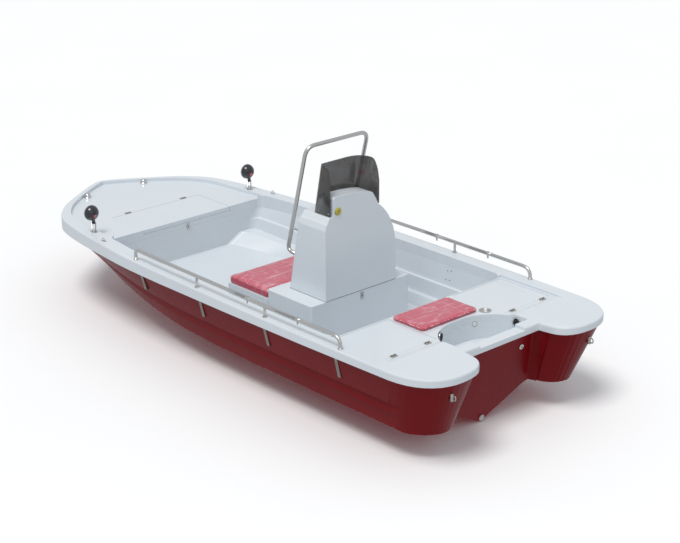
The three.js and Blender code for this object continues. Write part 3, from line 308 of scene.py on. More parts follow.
def stainless(name="Polished stainless", tone=(0.62, 0.61, 0.595), rough=0.22):
    build = Build(name)
    point = build.place()
    cloud = build.noise(point, 30.0, 3.0, 0.5)
    grain = build.noise(build.place((8.0, 90.0, 90.0)), 12.0, 2.0, 0.5)
    tea = build.ramp(build.noise(point, 22.0, 5.0, 0.7), (0.62, 0.0), (0.78, 1.0))
    colour = build.mix(tea * 0.35, tone, (0.42, 0.33, 0.24))
    return build.finish({
        "Base Color": colour,
        "Metallic": 1.0,
        "Roughness": (rough + cloud * 0.10 + grain * 0.06 + tea * 0.15).clamped(),
        "Normal": build.bump(grain, 0.0002, 0.2),
    })


def film_over_vinyl():
    """Red vinyl still under its clear wrapping: pale creases where the film stands off the cover, partly painted
    highlight, and a painted sheen on faces that look up.
    """
    build = Build("Vinyl under film")
    tone = tuple(bpy.context.scene.boat_colours.vinyl)
    point = build.place()
    grain = build.node("ShaderNodeTexVoronoi", {"feature": "DISTANCE_TO_EDGE"},
                       {"Vector": point, "Scale": 420.0})
    sweep = build.noise(build.place((30.0, 3.2, 12.0), (0, 0, 0.42)), 1.0, 1.5, 0.4, 0.35)
    cross = build.noise(build.place((4.0, 17.0, 12.0), (0, 0, -0.30)), 1.0, 1.5, 0.45, 0.5)
    crease = build.ramp(sweep, (0.485, 0.0), (0.52, 1.0), (0.555, 0.0))
    second = build.ramp(cross, (0.49, 0.0), (0.52, 1.0), (0.55, 0.0))
    patch = build.noise(point, 7.0, 3.0, 0.6)
    side = build.node("ShaderNodeNewGeometry", out="Normal")
    parts = build.tree.nodes.new("ShaderNodeSeparateXYZ")
    build.tree.links.new(side.socket, parts.inputs[0])
    painted_sheen_facing_up = Value(build, parts.outputs[2]).clamped()
    colour = build.mix((patch * 1.2 - 0.1).clamped(), shade(tone, 0.86), shade(tone, 1.12))
    # Painted highlight: the creases and every upward-facing face are mixed towards pale pink; the creases are
    # partly the film's real haze.
    crease_haze_and_painted_sheen = ((crease * 0.42 + second * 0.26) * (0.35 + painted_sheen_facing_up * 0.65) + painted_sheen_facing_up * 0.13).clamped()
    colour = build.mix(crease_haze_and_painted_sheen, colour, (0.80, 0.42, 0.48))
    folds = crease * 0.7 + second * 0.5 + sweep * 0.5
    normal = build.bump(grain, 0.0005, 0.25)
    normal = build.bump(folds, 0.0028, 0.75, normal)
    return build.finish({
        "Base Color": colour,
        "Roughness": (0.42 - crease * 0.22 + patch * 0.08).clamped(),
        "Normal": normal,
        "Coat Weight": (0.55 + crease * 0.4).clamped(),
        "Coat Roughness": 0.14,
    })


def seam_vinyl():
    build = Build("Seam vinyl")
    tone = tuple(bpy.context.scene.boat_colours.vinyl)
    point = build.place()
    glint = build.ramp(build.noise(point, 90.0, 3.0, 0.6), (0.5, 0.0), (0.62, 1.0))
    return build.finish({
        "Base Color": build.mix(glint * 0.85, shade(tone, 1.1), (0.95, 0.82, 0.80)),
        "Roughness": (0.4 - glint * 0.2).clamped(),
        "Coat Weight": (0.4 + glint * 0.5).clamped(),
        "Coat Roughness": 0.12,
    })


def smoked_acrylic():
    """Smoked sheet: see-through, with dusty streaks and a bright polished face."""
    build = Build("Smoked acrylic")
    point = build.place()
    dust = build.noise(build.place((3.0, 3.0, 0.8)), 7.0, 5.0, 0.6)
    film = build.ramp(dust, (0.45, 0.0), (0.75, 1.0))
    return build.finish({
        "Base Color": build.mix(film * 0.3, (0.050, 0.043, 0.040), (0.13, 0.12, 0.115)),
        "Roughness": (0.05 + film * 0.14).clamped(),
        "Alpha": (0.79 + film * 0.10).clamped(),
        "Normal": build.bump(build.noise(point, 6.0, 1.0, 0.3), 0.002, 0.3),
        "Coat Weight": 0.6,
        "Coat Roughness": 0.05,
        "IOR": 1.49,
    })


def moulded(name, tone, rough=0.35, speckle=0.1, coat=0.1, grain=700.0):
    """Plain moulded plastic or rubber with a fine surface."""
    build = Build(name)
    point = build.place()
    cloud = build.noise(point, 25.0, 4.0, 0.6)
    fine = build.noise(point, grain, 2.0, 0.5)
    return build.finish({
        "Base Color": build.mix(
            (cloud * 1.2 - 0.1).clamped(), shade(tone, 1 - speckle), shade(tone, 1 + speckle)),
        "Roughness": (rough + cloud * 0.12 + fine * 0.05).clamped(),
        "Normal": build.bump(fine, 0.0003, 0.3),
        "Coat Weight": coat,
        "Coat Roughness": 0.1,
    })


def lens_glass():
    build = Build("Lamp lens")
    _, y, _ = build.axes()
    flutes = (y * 900.0).sine() * 0.5 + 0.5
    return build.finish({
        "Base Color": build.mix(flutes * 0.4, (0.86, 0.90, 0.92), (0.62, 0.67, 0.70)),
        "Roughness": (0.05 + flutes * 0.06).clamped(),
        "Metallic": 0.25,
        "Normal": build.bump(flutes, 0.0008, 0.6),
        "Coat Weight": 1.0,
        "Coat Roughness": 0.03,
    })


def studio_floor():
    build = Build("Studio floor")
    point = build.place()
    cloud = build.noise(point, 0.8, 2.0, 0.4)
    return build.finish({
        "Base Color": build.mix(cloud, (0.925, 0.925, 0.93), (0.90, 0.90, 0.905)),
        "Roughness": 0.9,
        "Specular IOR Level": 0.1,
    })


MAKERS = {
    "white": white_gelcoat,
    "red": red_gelcoat,
    "steel": stainless,
    "chrome": lambda: stainless("Chrome", (0.66, 0.66, 0.67), 0.08),
    "dull_steel": lambda: stainless("Satin stainless", (0.50, 0.48, 0.44), 0.34),
    "strap_steel": lambda: stainless("Strap stainless", (0.30, 0.27, 0.235), 0.36),
    "film": film_over_vinyl,
    "seam": seam_vinyl,
    "smoked": smoked_acrylic,
    "black": lambda: moulded("Lamp shell", (0.011, 0.012, 0.018), 0.2, 0.25, 0.7),
    "boot": lambda: moulded("Lamp switch boot", (0.52, 0.10, 0.12), 0.4, 0.15, 0.3),
    "yellow": lambda: moulded(
        "Helm cap plastic", tuple(bpy.context.scene.boat_colours.cap), 0.4, 0.2, 0.15, 300.0),
    # Black rubber for the cable boots; the same material paints the shade of the screw crosses and of the holes in
    # the cockpit side.
    "rubber": lambda: moulded("Black rubber", (0.018, 0.018, 0.019), 0.65, 0.3, 0.0),
    "fitting": lambda: moulded("White fitting", (0.74, 0.74, 0.72), 0.4, 0.05, 0.1),
    # Painted shadow: a dark strip laid in seams and gaps where there is only shade.
    "seam_shadow_strip": lambda: moulded("Seam shadow gasket", (0.10, 0.105, 0.11), 0.7, 0.2, 0.0),
    "lens": lens_glass,
    "floor": studio_floor,
}
made_materials = {}


def material(key):
    if key not in made_materials:
        made_materials[key] = MAKERS[key]()
    return made_materials[key]


# ------------------------------------------------------------------ mesh helpers
def new_object(name, mesh, key):
    piece = bpy.data.objects.new(name, mesh)
    bpy.context.scene.collection.objects.link(piece)
    mesh.materials.clear()
    mesh.materials.append(material(key))
    return piece


def settle(piece, body, slot, *nodes):
    """Puts a finished piece on its body and hides the solids it stands for."""
    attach(piece, body)
    if nodes:
        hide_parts(*nodes)
    return piece


def node_mesh(node):
    """A merged copy of a solid, with its flat areas joined into whole faces."""
    mesh = bmesh.new()
    mesh.from_mesh(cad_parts[node].data)
    bmesh.ops.remove_doubles(mesh, verts=mesh.verts, dist=2e-5)
    bmesh.ops.dissolve_degenerate(mesh, edges=mesh.edges, dist=2e-5)
    return mesh


def smooth_mesh(name, work, angle):
    mesh = bpy.data.meshes.new(name)
    work.to_mesh(mesh)
    work.free()
    mesh.polygons.foreach_set("use_smooth", [True] * len(mesh.polygons))
    if angle:
        mesh.set_sharp_from_angle(angle=math.radians(angle))
    return mesh


def finished(node, key, slot, body=BOAT, edge=None, angle=32.0, name=None):
    """A piece with rolled edges and smooth curves, made from its solid."""
    work = node_mesh(node)
    bmesh.ops.dissolve_limit(work, angle_limit=math.radians(0.3), verts=work.verts, edges=work.edges)
    bmesh.ops.triangulate(work, faces=[face for face in work.faces if len(face.verts) > 4])
    piece = new_object(name or node + "_skin", smooth_mesh(node + "_skin", work, angle), key)
    if edge:
        bevel = piece.modifiers.new("Rolled edges", "BEVEL")
        bevel.width = edge
        bevel.segments = 2
        bevel.limit_method = "ANGLE"
        bevel.angle_limit = math.radians(angle)
        bevel.use_clamp_overlap = True
        even = piece.modifiers.new("Even shading", "WEIGHTED_NORMAL")
        even.keep_sharp = True
        even.weight = 80
    return settle(piece, body, slot, node)


def turned(name, profile, key, matrix, sides=32, smooth_angle=40.0):
    """A closed turned shape from (radius, height) pairs that start and end on the axis."""
    work = bmesh.new()
    rings = []
    for radius, height in profile:
        if radius < 1e-6:
            rings.append([work.verts.new((0, 0, height))])
        else:
            rings.append([work.verts.new((radius * math.cos(turn), radius * math.sin(turn), height))
                          for turn in (math.tau * i / sides for i in range(sides))])
    for low, high in zip(rings, rings[1:]):
        for i in range(sides):
            j = (i + 1) % sides
            corners = [low[i % len(low)], low[j % len(low)], high[j % len(high)], high[i % len(high)]]
            unique = list(dict.fromkeys(corners))
            if len(unique) > 2:
                work.faces.new(unique)
    bmesh.ops.recalc_face_normals(work, faces=work.faces)
    work.transform(matrix)
    return new_object(name, smooth_mesh(name, work, smooth_angle), key)


def slab(name, key, low, high, edge):
    """A block between two corners with rounded edges."""
    work = bmesh.new()
    bmesh.ops.create_cube(work, size=1.0)
    size = Vector(high) - Vector(low)
    work.transform(Matrix.Translation((Vector(high) + Vector(low)) / 2) @ Matrix.Diagonal((*size, 1)))
    bmesh.ops.bevel(work, geom=work.edges[:], offset=edge, segments=3, profile=0.5, affect="EDGES")
    bmesh.ops.recalc_face_normals(work, faces=work.faces)
    return new_object(name, smooth_mesh(name, work, 40.0), key)


def joined(name, pieces):
    """Several loose pieces as one, each face keeping its material."""
    work = bmesh.new()
    materials = []
    for piece in pieces:
        start = len(work.faces)
        work.from_mesh(piece.data)
        work.faces.ensure_lookup_table()
        for slot_material in piece.data.materials:
            if slot_material not in materials:
                materials.append(slot_material)
        index = materials.index(piece.data.materials[0])
        for face in work.faces[start:]:
            face.material_index = index
    mesh = bpy.data.meshes.new(name)
    work.to_mesh(mesh)
    work.free()
    whole = bpy.data.objects.new(name, mesh)
    bpy.context.scene.collection.objects.link(whole)
    for each in materials:
        mesh.materials.append(each)
    for piece in pieces:
        bpy.data.objects.remove(piece, do_unlink=True)
    return whole


def middle(node):
    low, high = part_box(node)
    return (Vector(low) + Vector(high)) / 2


def surface(node):
    """A search tree over a solid's faces."""
    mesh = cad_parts[node].data
    return BVHTree.FromPolygons([vertex.co for vertex in mesh.vertices],
                                [tuple(polygon.vertices) for polygon in mesh.polygons])


def facing(direction):
    """A turn that takes +Z to a direction."""
    return Vector(direction).to_track_quat("Z", "Y").to_matrix().to_4x4()


# ------------------------------------------------------------------ geometry nodes
class Tree:
    """A Geometry Nodes tree with named inputs."""

    def __init__(self, name, inputs):
        self.tree = bpy.data.node_groups.new(name, "GeometryNodeTree")
        self.tree.interface.new_socket(name="Geometry", in_out="INPUT", socket_type="NodeSocketGeometry")
        self.identifiers = {}
        for label, kind, value in inputs:
            socket = self.tree.interface.new_socket(name=label, in_out="INPUT", socket_type=kind)
            if value is not None:
                socket.default_value = value
            self.identifiers[label] = socket.identifier
        self.tree.interface.new_socket(name="Geometry", in_out="OUTPUT", socket_type="NodeSocketGeometry")
        self.source = self.tree.nodes.new("NodeGroupInput")
        self.result = self.tree.nodes.new("NodeGroupOutput")

    def given(self, label):
        return self.source.outputs[label]

    def node(self, kind, settings=None, values=None, out=0):
        made = self.tree.nodes.new(kind)
        for key, setting in (settings or {}).items():
            setattr(made, key, setting)
        for key, value in (values or {}).items():
            if isinstance(value, bpy.types.NodeSocket):
                self.tree.links.new(value, made.inputs[key])
            else:
                made.inputs[key].default_value = value
        return made.outputs[out]

    def finish(self, geometry):
        real = self.node("GeometryNodeRealizeInstances", {}, {"Geometry": geometry})
        smooth = self.node("GeometryNodeSetShadeSmooth", {}, {"Geometry": real})
        painted = self.node(
            "GeometryNodeSetMaterial", {}, {"Geometry": smooth, "Material": self.given("Material")})
        self.tree.links.new(painted, self.result.inputs[0])


def run_tree(tree, name, points, edges, key, values, directions=None):
    """Runs a tree over loose points or lines and keeps its result as a plain mesh."""
    mesh = bpy.data.meshes.new(name + "_path")
    mesh.from_pydata([tuple(point) for point in points], edges, [])
    if directions:
        layer = mesh.attributes.new("facing", "FLOAT_VECTOR", "POINT")
        for item, direction in zip(layer.data, directions):
            item.vector = direction
    carrier = bpy.data.objects.new(name + "_carrier", mesh)
    bpy.context.scene.collection.objects.link(carrier)
    modifier = carrier.modifiers.new("Shape", "NODES")
    modifier.node_group = tree.tree
    modifier[tree.identifiers["Material"]] = material(key)
    for label, value in values.items():
        modifier[tree.identifiers[label]] = value
    graph = bpy.context.evaluated_depsgraph_get()
    result = bpy.data.meshes.new_from_object(carrier.evaluated_get(graph))
    carrier.modifiers.remove(modifier)
    bpy.data.objects.remove(carrier, do_unlink=True)
    result.name = name
    return new_object(name, result, key)


def welt_tree():
    """A round welt along a closed line."""
    tree = Tree("Welt along a line", [
        ("Radius", "NodeSocketFloat", 0.003), ("Material", "NodeSocketMaterial", None)])
    line = tree.node("GeometryNodeMeshToCurve", {}, {0: tree.given("Geometry")})
    profile = tree.node(
        "GeometryNodeCurvePrimitiveCircle", {}, {"Resolution": 8, "Radius": tree.given("Radius")})
    tree.finish(tree.node(
        "GeometryNodeCurveToMesh", {}, {"Curve": line, "Profile Curve": profile, "Fill Caps": True}))
    return tree


def stitch_tree():
    """Short stitches at even steps along a line."""
    tree = Tree("Stitches along a line", [
        ("Spacing", "NodeSocketFloat", 0.009), ("Thickness", "NodeSocketFloat", 0.0008),
        ("Material", "NodeSocketMaterial", None)])
    line = tree.node("GeometryNodeMeshToCurve", {}, {0: tree.given("Geometry")})
    steps = tree.node(
        "GeometryNodeResampleCurve", {"mode": "LENGTH"}, {"Curve": line, "Length": tree.given("Spacing")})
    tangent = tree.node("GeometryNodeInputTangent")
    turn = tree.node("FunctionNodeAlignRotationToVector", {"axis": "X"}, {"Vector": tangent})
    bead = tree.node(
        "GeometryNodeMeshUVSphere", {}, {"Segments": 8, "Rings": 5, "Radius": tree.given("Thickness")})
    long_bead = tree.node("GeometryNodeTransform", {}, {"Geometry": bead, "Scale": (3.4, 1.0, 0.8)})
    tree.finish(tree.node("GeometryNodeInstanceOnPoints", {}, {
        "Points": steps, "Instance": long_bead, "Rotation": turn}))
    return tree


def screw_tree():
    """Pan-head screws that stand on points and face as the points say."""
    tree = Tree("Screws on points", [
        ("Radius", "NodeSocketFloat", 0.004), ("Height", "NodeSocketFloat", 0.0016),
        ("Material", "NodeSocketMaterial", None)])
    rim = tree.node("GeometryNodeMeshCylinder", {}, {
        "Vertices": 16, "Radius": tree.given("Radius"), "Depth": tree.given("Height")})
    dome = tree.node(
        "GeometryNodeMeshUVSphere", {}, {"Segments": 16, "Rings": 8, "Radius": tree.given("Radius")})
    flat_dome = tree.node("GeometryNodeTransform", {}, {"Geometry": dome, "Scale": (0.96, 0.96, 0.52)})
    heads = tree.tree.nodes.new("GeometryNodeJoinGeometry")
    tree.tree.links.new(rim, heads.inputs[0])
    tree.tree.links.new(flat_dome, heads.inputs[0])
    direction = tree.node("GeometryNodeInputNamedAttribute", {"data_type": "FLOAT_VECTOR"}, {"Name": "facing"})
    turn = tree.node("FunctionNodeAlignRotationToVector", {"axis": "Z"}, {"Vector": direction})
    tree.finish(tree.node("GeometryNodeInstanceOnPoints", {}, {
        "Points": tree.given("Geometry"), "Instance": heads.outputs[0], "Rotation": turn}))
    return tree


def cross_shade_tree():
    """Dark crosses on each screw head: painted shade standing in for the recessed cross slot."""
    tree = Tree("Screw crosses on points", [
        ("Length", "NodeSocketFloat", 0.005), ("Material", "NodeSocketMaterial", None)])
    bar = tree.node("GeometryNodeMeshCube", {}, {"Size": (1.0, 0.2, 0.2)})
    cross = tree.tree.nodes.new("GeometryNodeJoinGeometry")
    tree.tree.links.new(bar, cross.inputs[0])
    second = tree.node("GeometryNodeTransform", {}, {"Geometry": bar, "Rotation": (0, 0, math.pi / 2)})
    tree.tree.links.new(second, cross.inputs[0])
    direction = tree.node("GeometryNodeInputNamedAttribute", {"data_type": "FLOAT_VECTOR"}, {"Name": "facing"})
    turn = tree.node("FunctionNodeAlignRotationToVector", {"axis": "Z"}, {"Vector": direction})
    tree.finish(tree.node("GeometryNodeInstanceOnPoints", {}, {
        "Points": tree.given("Geometry"), "Instance": cross.outputs[0], "Rotation": turn,
        "Scale": tree.given("Length")}))
    return tree


# ------------------------------------------------------------------ operators
class BOAT_OT_stage(bpy.types.Operator):
    """Sets up the camera, the pale floor and the studio lights"""
    bl_idname = "boat.stage"
    bl_label = "Studio"

    def execute(self, context):
        scene = context.scene
        studio = scene.boat_studio
        camera = bpy.data.objects.new("Camera", bpy.data.cameras.new("Camera"))
        scene.collection.objects.link(camera)
        camera.data.sensor_width = 36.0
        camera.data.lens = LENS
        camera.data.clip_end = 200.0
        camera.data.shift_x, camera.data.shift_y = LENS_SHIFT
        yaw, pitch, roll = (math.radians(angle) for angle in VIEW_ANGLES)
        turn = (Matrix.Rotation(yaw - math.pi / 2, 4, "Z") @ Matrix.Rotation(math.pi / 2 - pitch, 4, "X")
                @ Matrix.Rotation(roll, 4, "Z"))
        camera.matrix_world = Matrix.Translation(VIEW_PLACE) @ turn
        scene.camera = camera

        low = Vector(cad_bounds[0])
        work = bmesh.new()
        bmesh.ops.create_grid(work, x_segments=1, y_segments=1, size=60.0)
        work.transform(Matrix.Translation((0, 0, low.z - 0.004)))
        floor = new_object("Floor", smooth_mesh("Floor", work, None), "floor")
        floor.visible_diffuse = False
        floor.visible_glossy = False

        world = bpy.data.worlds.new("Studio")
        world.use_nodes = True
        back = world.node_tree.nodes["Background"]
        back.inputs["Color"].default_value = (0.93, 0.965, 1.0, 1)
        back.inputs["Strength"].default_value = studio.sky
        scene.world = world
        scene.view_settings.view_transform = "Standard"
        sun = bpy.data.lights.new("Key", "SUN")
        sun.energy = studio.key_power
        sun.angle = math.radians(24)
        sun.color = (1.0, 0.985, 0.96)
        holder = bpy.data.objects.new("Key", sun)
        scene.collection.objects.link(holder)
        holder.rotation_euler = Vector(KEY_DIRECTION).to_track_quat("-Z", "Y").to_euler()
        self.light("Fill", (-9.0, 5.0, 6.0), 6.0, studio.fill_power, (0.95, 0.97, 1.0))
        return {"FINISHED"}

    @staticmethod
    def light(name, place, size, power, colour):
        lamp = bpy.data.lights.new(name, "AREA")
        lamp.shape = "DISK"
        lamp.size = size
        lamp.energy = power
        lamp.color = colour
        holder = bpy.data.objects.new(name, lamp)
        bpy.context.scene.collection.objects.link(holder)
        holder.location = place
        holder.rotation_euler = (Vector((0, 0, 0.2)) - Vector(place)).to_track_quat("-Z", "Y").to_euler()


class BOAT_OT_hull(bpy.types.Operator):
    """Finishes the red hull and its through-fittings"""
    bl_idname = "boat.hull"
    bl_label = "Hull"

    def execute(self, context):
        finished("hull", "red", RED, edge=0.003, angle=28.0)
        finished("bow_eye", "steel", STEEL)
        finished("drain_plug", "dull_steel", STEEL)
        finished("well_drain", "fitting", PLASTIC)
        for side in SIDES:
            finished(f"{side}_stern_eye", "dull_steel", STEEL)
            for number in range(1, 5):
                finished(f"{side}_hull_strap_{number}", "strap_steel", STEEL, edge=0.001)
        return {"FINISHED"}


class BOAT_OT_deck(bpy.types.Operator):
    """Finishes the deck moulding, the cockpit liner, the lockers and the motor well"""
    bl_idname = "boat.deck"
    bl_label = "Deck and liner"

    def execute(self, context):
        edge = context.scene.boat_sizes.edge
        finished("deck", "white", WHITE, edge=edge * 0.75, angle=30.0)
        finished("cockpit_liner", "white", WHITE, edge=edge * 1.5, angle=24.0)
        finished("fore_locker", "white", WHITE, edge=edge)
        finished("motor_well", "white", WHITE, edge=edge * 0.5)
        for side in SIDES:
            finished(f"{side}_aft_locker", "white", WHITE, edge=edge)
        return {"FINISHED"}


class BOAT_OT_lids(bpy.types.Operator):
    """Finishes the fore hatch, the two aft lids and their hinges"""
    bl_idname = "boat.lids"
    bl_label = "Lids and hinges"

    def execute(self, context):
        edge = context.scene.boat_sizes.edge * 0.6
        finished("foredeck_hatch", "white", WHITE, "fore_hatch", edge)
        finished("hatch_latch", "steel", STEEL, edge=0.0008)
        for side in SIDES:
            finished(f"{side}_aft_lid", "white", WHITE, f"{side}_lid", edge)
            for place in ("hatch_hinge_" + side, f"aft_hinge_{side}_outer", f"aft_hinge_{side}_inner"):
                finished(place, "dull_steel", STEEL, edge=0.0006)
        return {"FINISHED"}


class BOAT_OT_console(bpy.types.Operator):
    """Finishes the console base, the seat step, the tower, the screen and the helm cap"""
    bl_idname = "boat.console"
    bl_label = "Console"

    def execute(self, context):
        edge = context.scene.boat_sizes.edge
        finished("console_base", "white", WHITE, edge=edge * 1.5)
        finished("front_seat_base", "white", WHITE, edge=edge * 1.5)
        finished("console_tower", "white", WHITE, "tower", edge * 1.2, 28.0)
        finished("windscreen", "smoked", SMOKED, "tower", None, 50.0)
        finished("console_grab_rail", "steel", STEEL, "tower")
        finished("console_latch", "steel", STEEL, edge=0.0008)
        self.cap()
        self.foot_seam_shadow()
        return {"FINISHED"}

    @staticmethod
    def foot_seam_shadow():
        """A thin dark welt where the tower's foot closes on the base: painted shadow in the seam."""
        low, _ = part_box("console_tower")
        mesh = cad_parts["console_tower"].data
        foot = sorted({(round(vertex.co.x, 5), round(vertex.co.y, 5)) for vertex in mesh.vertices
                       if vertex.co.z < low[2] + 0.0005})
        chains = []
        for ordered in (foot, foot[::-1]):
            chain = []
            for point in ordered:
                while len(chain) > 1 and ((chain[-1][0] - chain[-2][0]) * (point[1] - chain[-2][1])
                                          - (chain[-1][1] - chain[-2][1]) * (point[0] - chain[-2][0])) <= 0:
                    chain.pop()
                chain.append(point)
            chains += chain[:-1]
        points = [Vector((x, y, low[2] + 0.0004)) for x, y in chains]
        edges = [(i, (i + 1) % len(points)) for i in range(len(points))]
        seam_shade = run_tree(welt_tree(), "tower_foot_seam_shadow", points, edges, "seam_shadow_strip", {"Radius": 0.0017})
        settle(seam_shade, BOAT, BLACK)

    @staticmethod
    def cap():
        low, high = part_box("helm_cap")
        centre = middle("helm_cap")
        radius = (high[2] - low[2]) / 2
        depth = high[0] - low[0]
        matrix = Matrix.Translation((high[0], centre.y, centre.z)) @ facing((-1, 0, 0))
        profile = [(0, 0), (radius, 0), (radius, depth * 0.45), (radius * 0.94, depth * 0.6), (radius * 0.86, depth * 0.62),
                   (radius * 0.82, depth * 0.9), (radius * 0.70, depth), (radius * 0.45, depth * 0.96),
                   (radius * 0.40, depth * 0.7), (0, depth * 0.68)]
        parts = [turned("cap_body", profile, "yellow", matrix, 40)]
        grip = slab("cap_grip", "yellow", (-radius * 0.62, -radius * 0.11, depth * 0.6),
                    (radius * 0.62, radius * 0.11, depth * 1.0), 0.0012)
        grip.data.transform(matrix @ Matrix.Rotation(0.6, 4, "Z"))
        parts.append(grip)
        settle(joined("helm_cap_turned", parts), "tower", YELLOW, "helm_cap")


class BOAT_OT_metalwork(bpy.types.Operator):
    """Finishes the side rails, pad eyes, bow lights, rigging rings and cup holder"""
    bl_idname = "boat.metalwork"
    bl_label = "Metalwork"

    def execute(self, context):
        for side in SIDES:
            finished(f"{side}_rail", "steel", STEEL)
            finished(f"{side}_pad_eye", "steel", STEEL)
            finished(f"{side}_nav_light", "chrome", STEEL)
            finished(f"{side}_rigging_ring", "chrome", STEEL)
            self.boot_face(side)
        finished("cup_holder", "steel", STEEL)
        self.wall_fittings()
        return {"FINISHED"}

    @staticmethod
    def boot_face(side):
        """The pleated rubber boot inside a rigging ring, with a dark hole for the cables."""
        node = f"{side}_rigging_ring"
        toward = Vector((-1, 0, 0)) if side == "port" else Vector((0, 1, 0))
        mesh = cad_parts[node].data
        axis = Vector((0, 0, 0))
        for face in mesh.polygons:
            if face.normal.dot(toward) > 0.3:
                axis += face.normal * face.area
        axis.normalize()
        centre = middle(node)
        reach = max((vertex.co - centre).dot(axis) for vertex in mesh.vertices)
        arms = [vertex.co - centre for vertex in mesh.vertices]
        radius = max((arm - axis * arm.dot(axis)).length for arm in arms)
        seat = Matrix.Translation(centre + axis * (reach - 0.0028)) @ facing(axis)
        inner = radius * 0.70
        pleats = [(0, -0.001), (inner, -0.001), (inner, 0.0006), (inner * 0.88, 0.0026), (inner * 0.78, 0.0012),
                  (inner * 0.66, 0.0036), (inner * 0.56, 0.0020), (inner * 0.46, 0.0044), (inner * 0.36, 0.0040),
                  (inner * 0.32, 0.0012), (0, 0.0010)]
        settle(turned(f"{side}_cable_boot", pleats, "rubber", seat, 36), BOAT, BLACK)

    @staticmethod
    def wall_fittings():
        """A capped port in the well's wall with a painted shadow ring round it, and four dark discs high on the
        cockpit side that stand for the shade inside holes there (painted shade).
        """
        well = surface("motor_well")
        hit, normal, _, _ = well.ray_cast(Vector((-1.93, -0.150, 0.372)), Vector((1, 0, 0)))
        if hit:
            seat = Matrix.Translation(hit) @ facing(normal)
            cap = [(0, -0.002), (0.0165, -0.002), (0.0165, 0.0018), (0.0145, 0.0030), (0.0125, 0.0030), (0.0115, 0.0016),
                   (0.0105, 0.0034), (0, 0.0040)]
            settle(turned("well_port_cap", cap, "fitting", seat, 32), BOAT, PLASTIC)
            # Painted shadow: this dark ring round the cap stands for the shade in the gap round it.
            rim = [(0.0165, -0.002), (0.0185, -0.002), (0.0185, 0.0010), (0.0165, 0.0014), (0.0165, -0.002)]
            settle(turned("well_port_shadow_ring", rim, "seam_shadow_strip", seat, 32), BOAT, BLACK)
        liner = surface("cockpit_liner")
        for number, (x, z) in enumerate(((-0.832, 0.338), (-0.867, 0.344), (-0.822, 0.271), (-0.858, 0.273))):
            hit, normal, _, _ = liner.ray_cast(Vector((x, -0.60, z)), Vector((0, -1, 0)))
            if hit:
                seat = Matrix.Translation(hit) @ facing(normal)
                # Painted shade: a dark rubber-coloured disc stands for the shade inside each hole.
                plug = [(0, -0.001), (0.0042, -0.001), (0.0042, 0.0006), (0.0030, 0.0010), (0, 0.0006)]
                settle(turned(f"side_wall_hole_shade_{number + 1}", plug, "rubber", seat, 16), BOAT, BLACK)


class BOAT_OT_lamps(bpy.types.Operator):
    """Builds the two working lamps on their chrome forks"""
    bl_idname = "boat.lamps"
    bl_label = "Lamps"

    def execute(self, context):
        for side in SIDES:
            finished(f"{side}_lamp_fork", "chrome", STEEL)
            self.head(side)
        return {"FINISHED"}

    @staticmethod
    def head(side):
        node = f"{side}_lamp"
        body = f"{side}_lamp_head"
        finished(node, "black", BLACK, body, None, 45.0)
        low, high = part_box(node)
        radius = (high[1] - low[1]) / 2
        centre = Vector((high[0], (low[1] + high[1]) / 2, high[2] - radius))
        front = Matrix.Translation(centre) @ facing((1, 0, 0))
        rim = [(radius * 0.80, -0.004), (radius * 0.985, -0.014), (radius * 1.0, -0.008), (radius * 0.96, 0.000),
               (radius * 0.84, 0.0015), (radius * 0.80, -0.004)]
        ring = turned(f"{side}_lamp_rim", rim, "chrome", front, 40)
        settle(ring, body, STEEL)
        glass = [(0, -0.003), (radius * 0.84, -0.006), (radius * 0.84, -0.002), (radius * 0.5, 0.002), (0, 0.0035)]
        settle(turned(f"{side}_lamp_lens", glass, "lens", front, 40), body, STEEL)
        back = Matrix.Translation((low[0] + 0.0035, centre.y, centre.z - radius * 0.25)) @ facing((-1, 0, -0.12))
        boot = [(0, -0.006), (0.0125, -0.006), (0.0125, 0.001), (0.0095, 0.0045), (0.0065, 0.006), (0, 0.0065)]
        settle(turned(f"{side}_lamp_boot", boot, "boot", back, 24), body, BLACK)


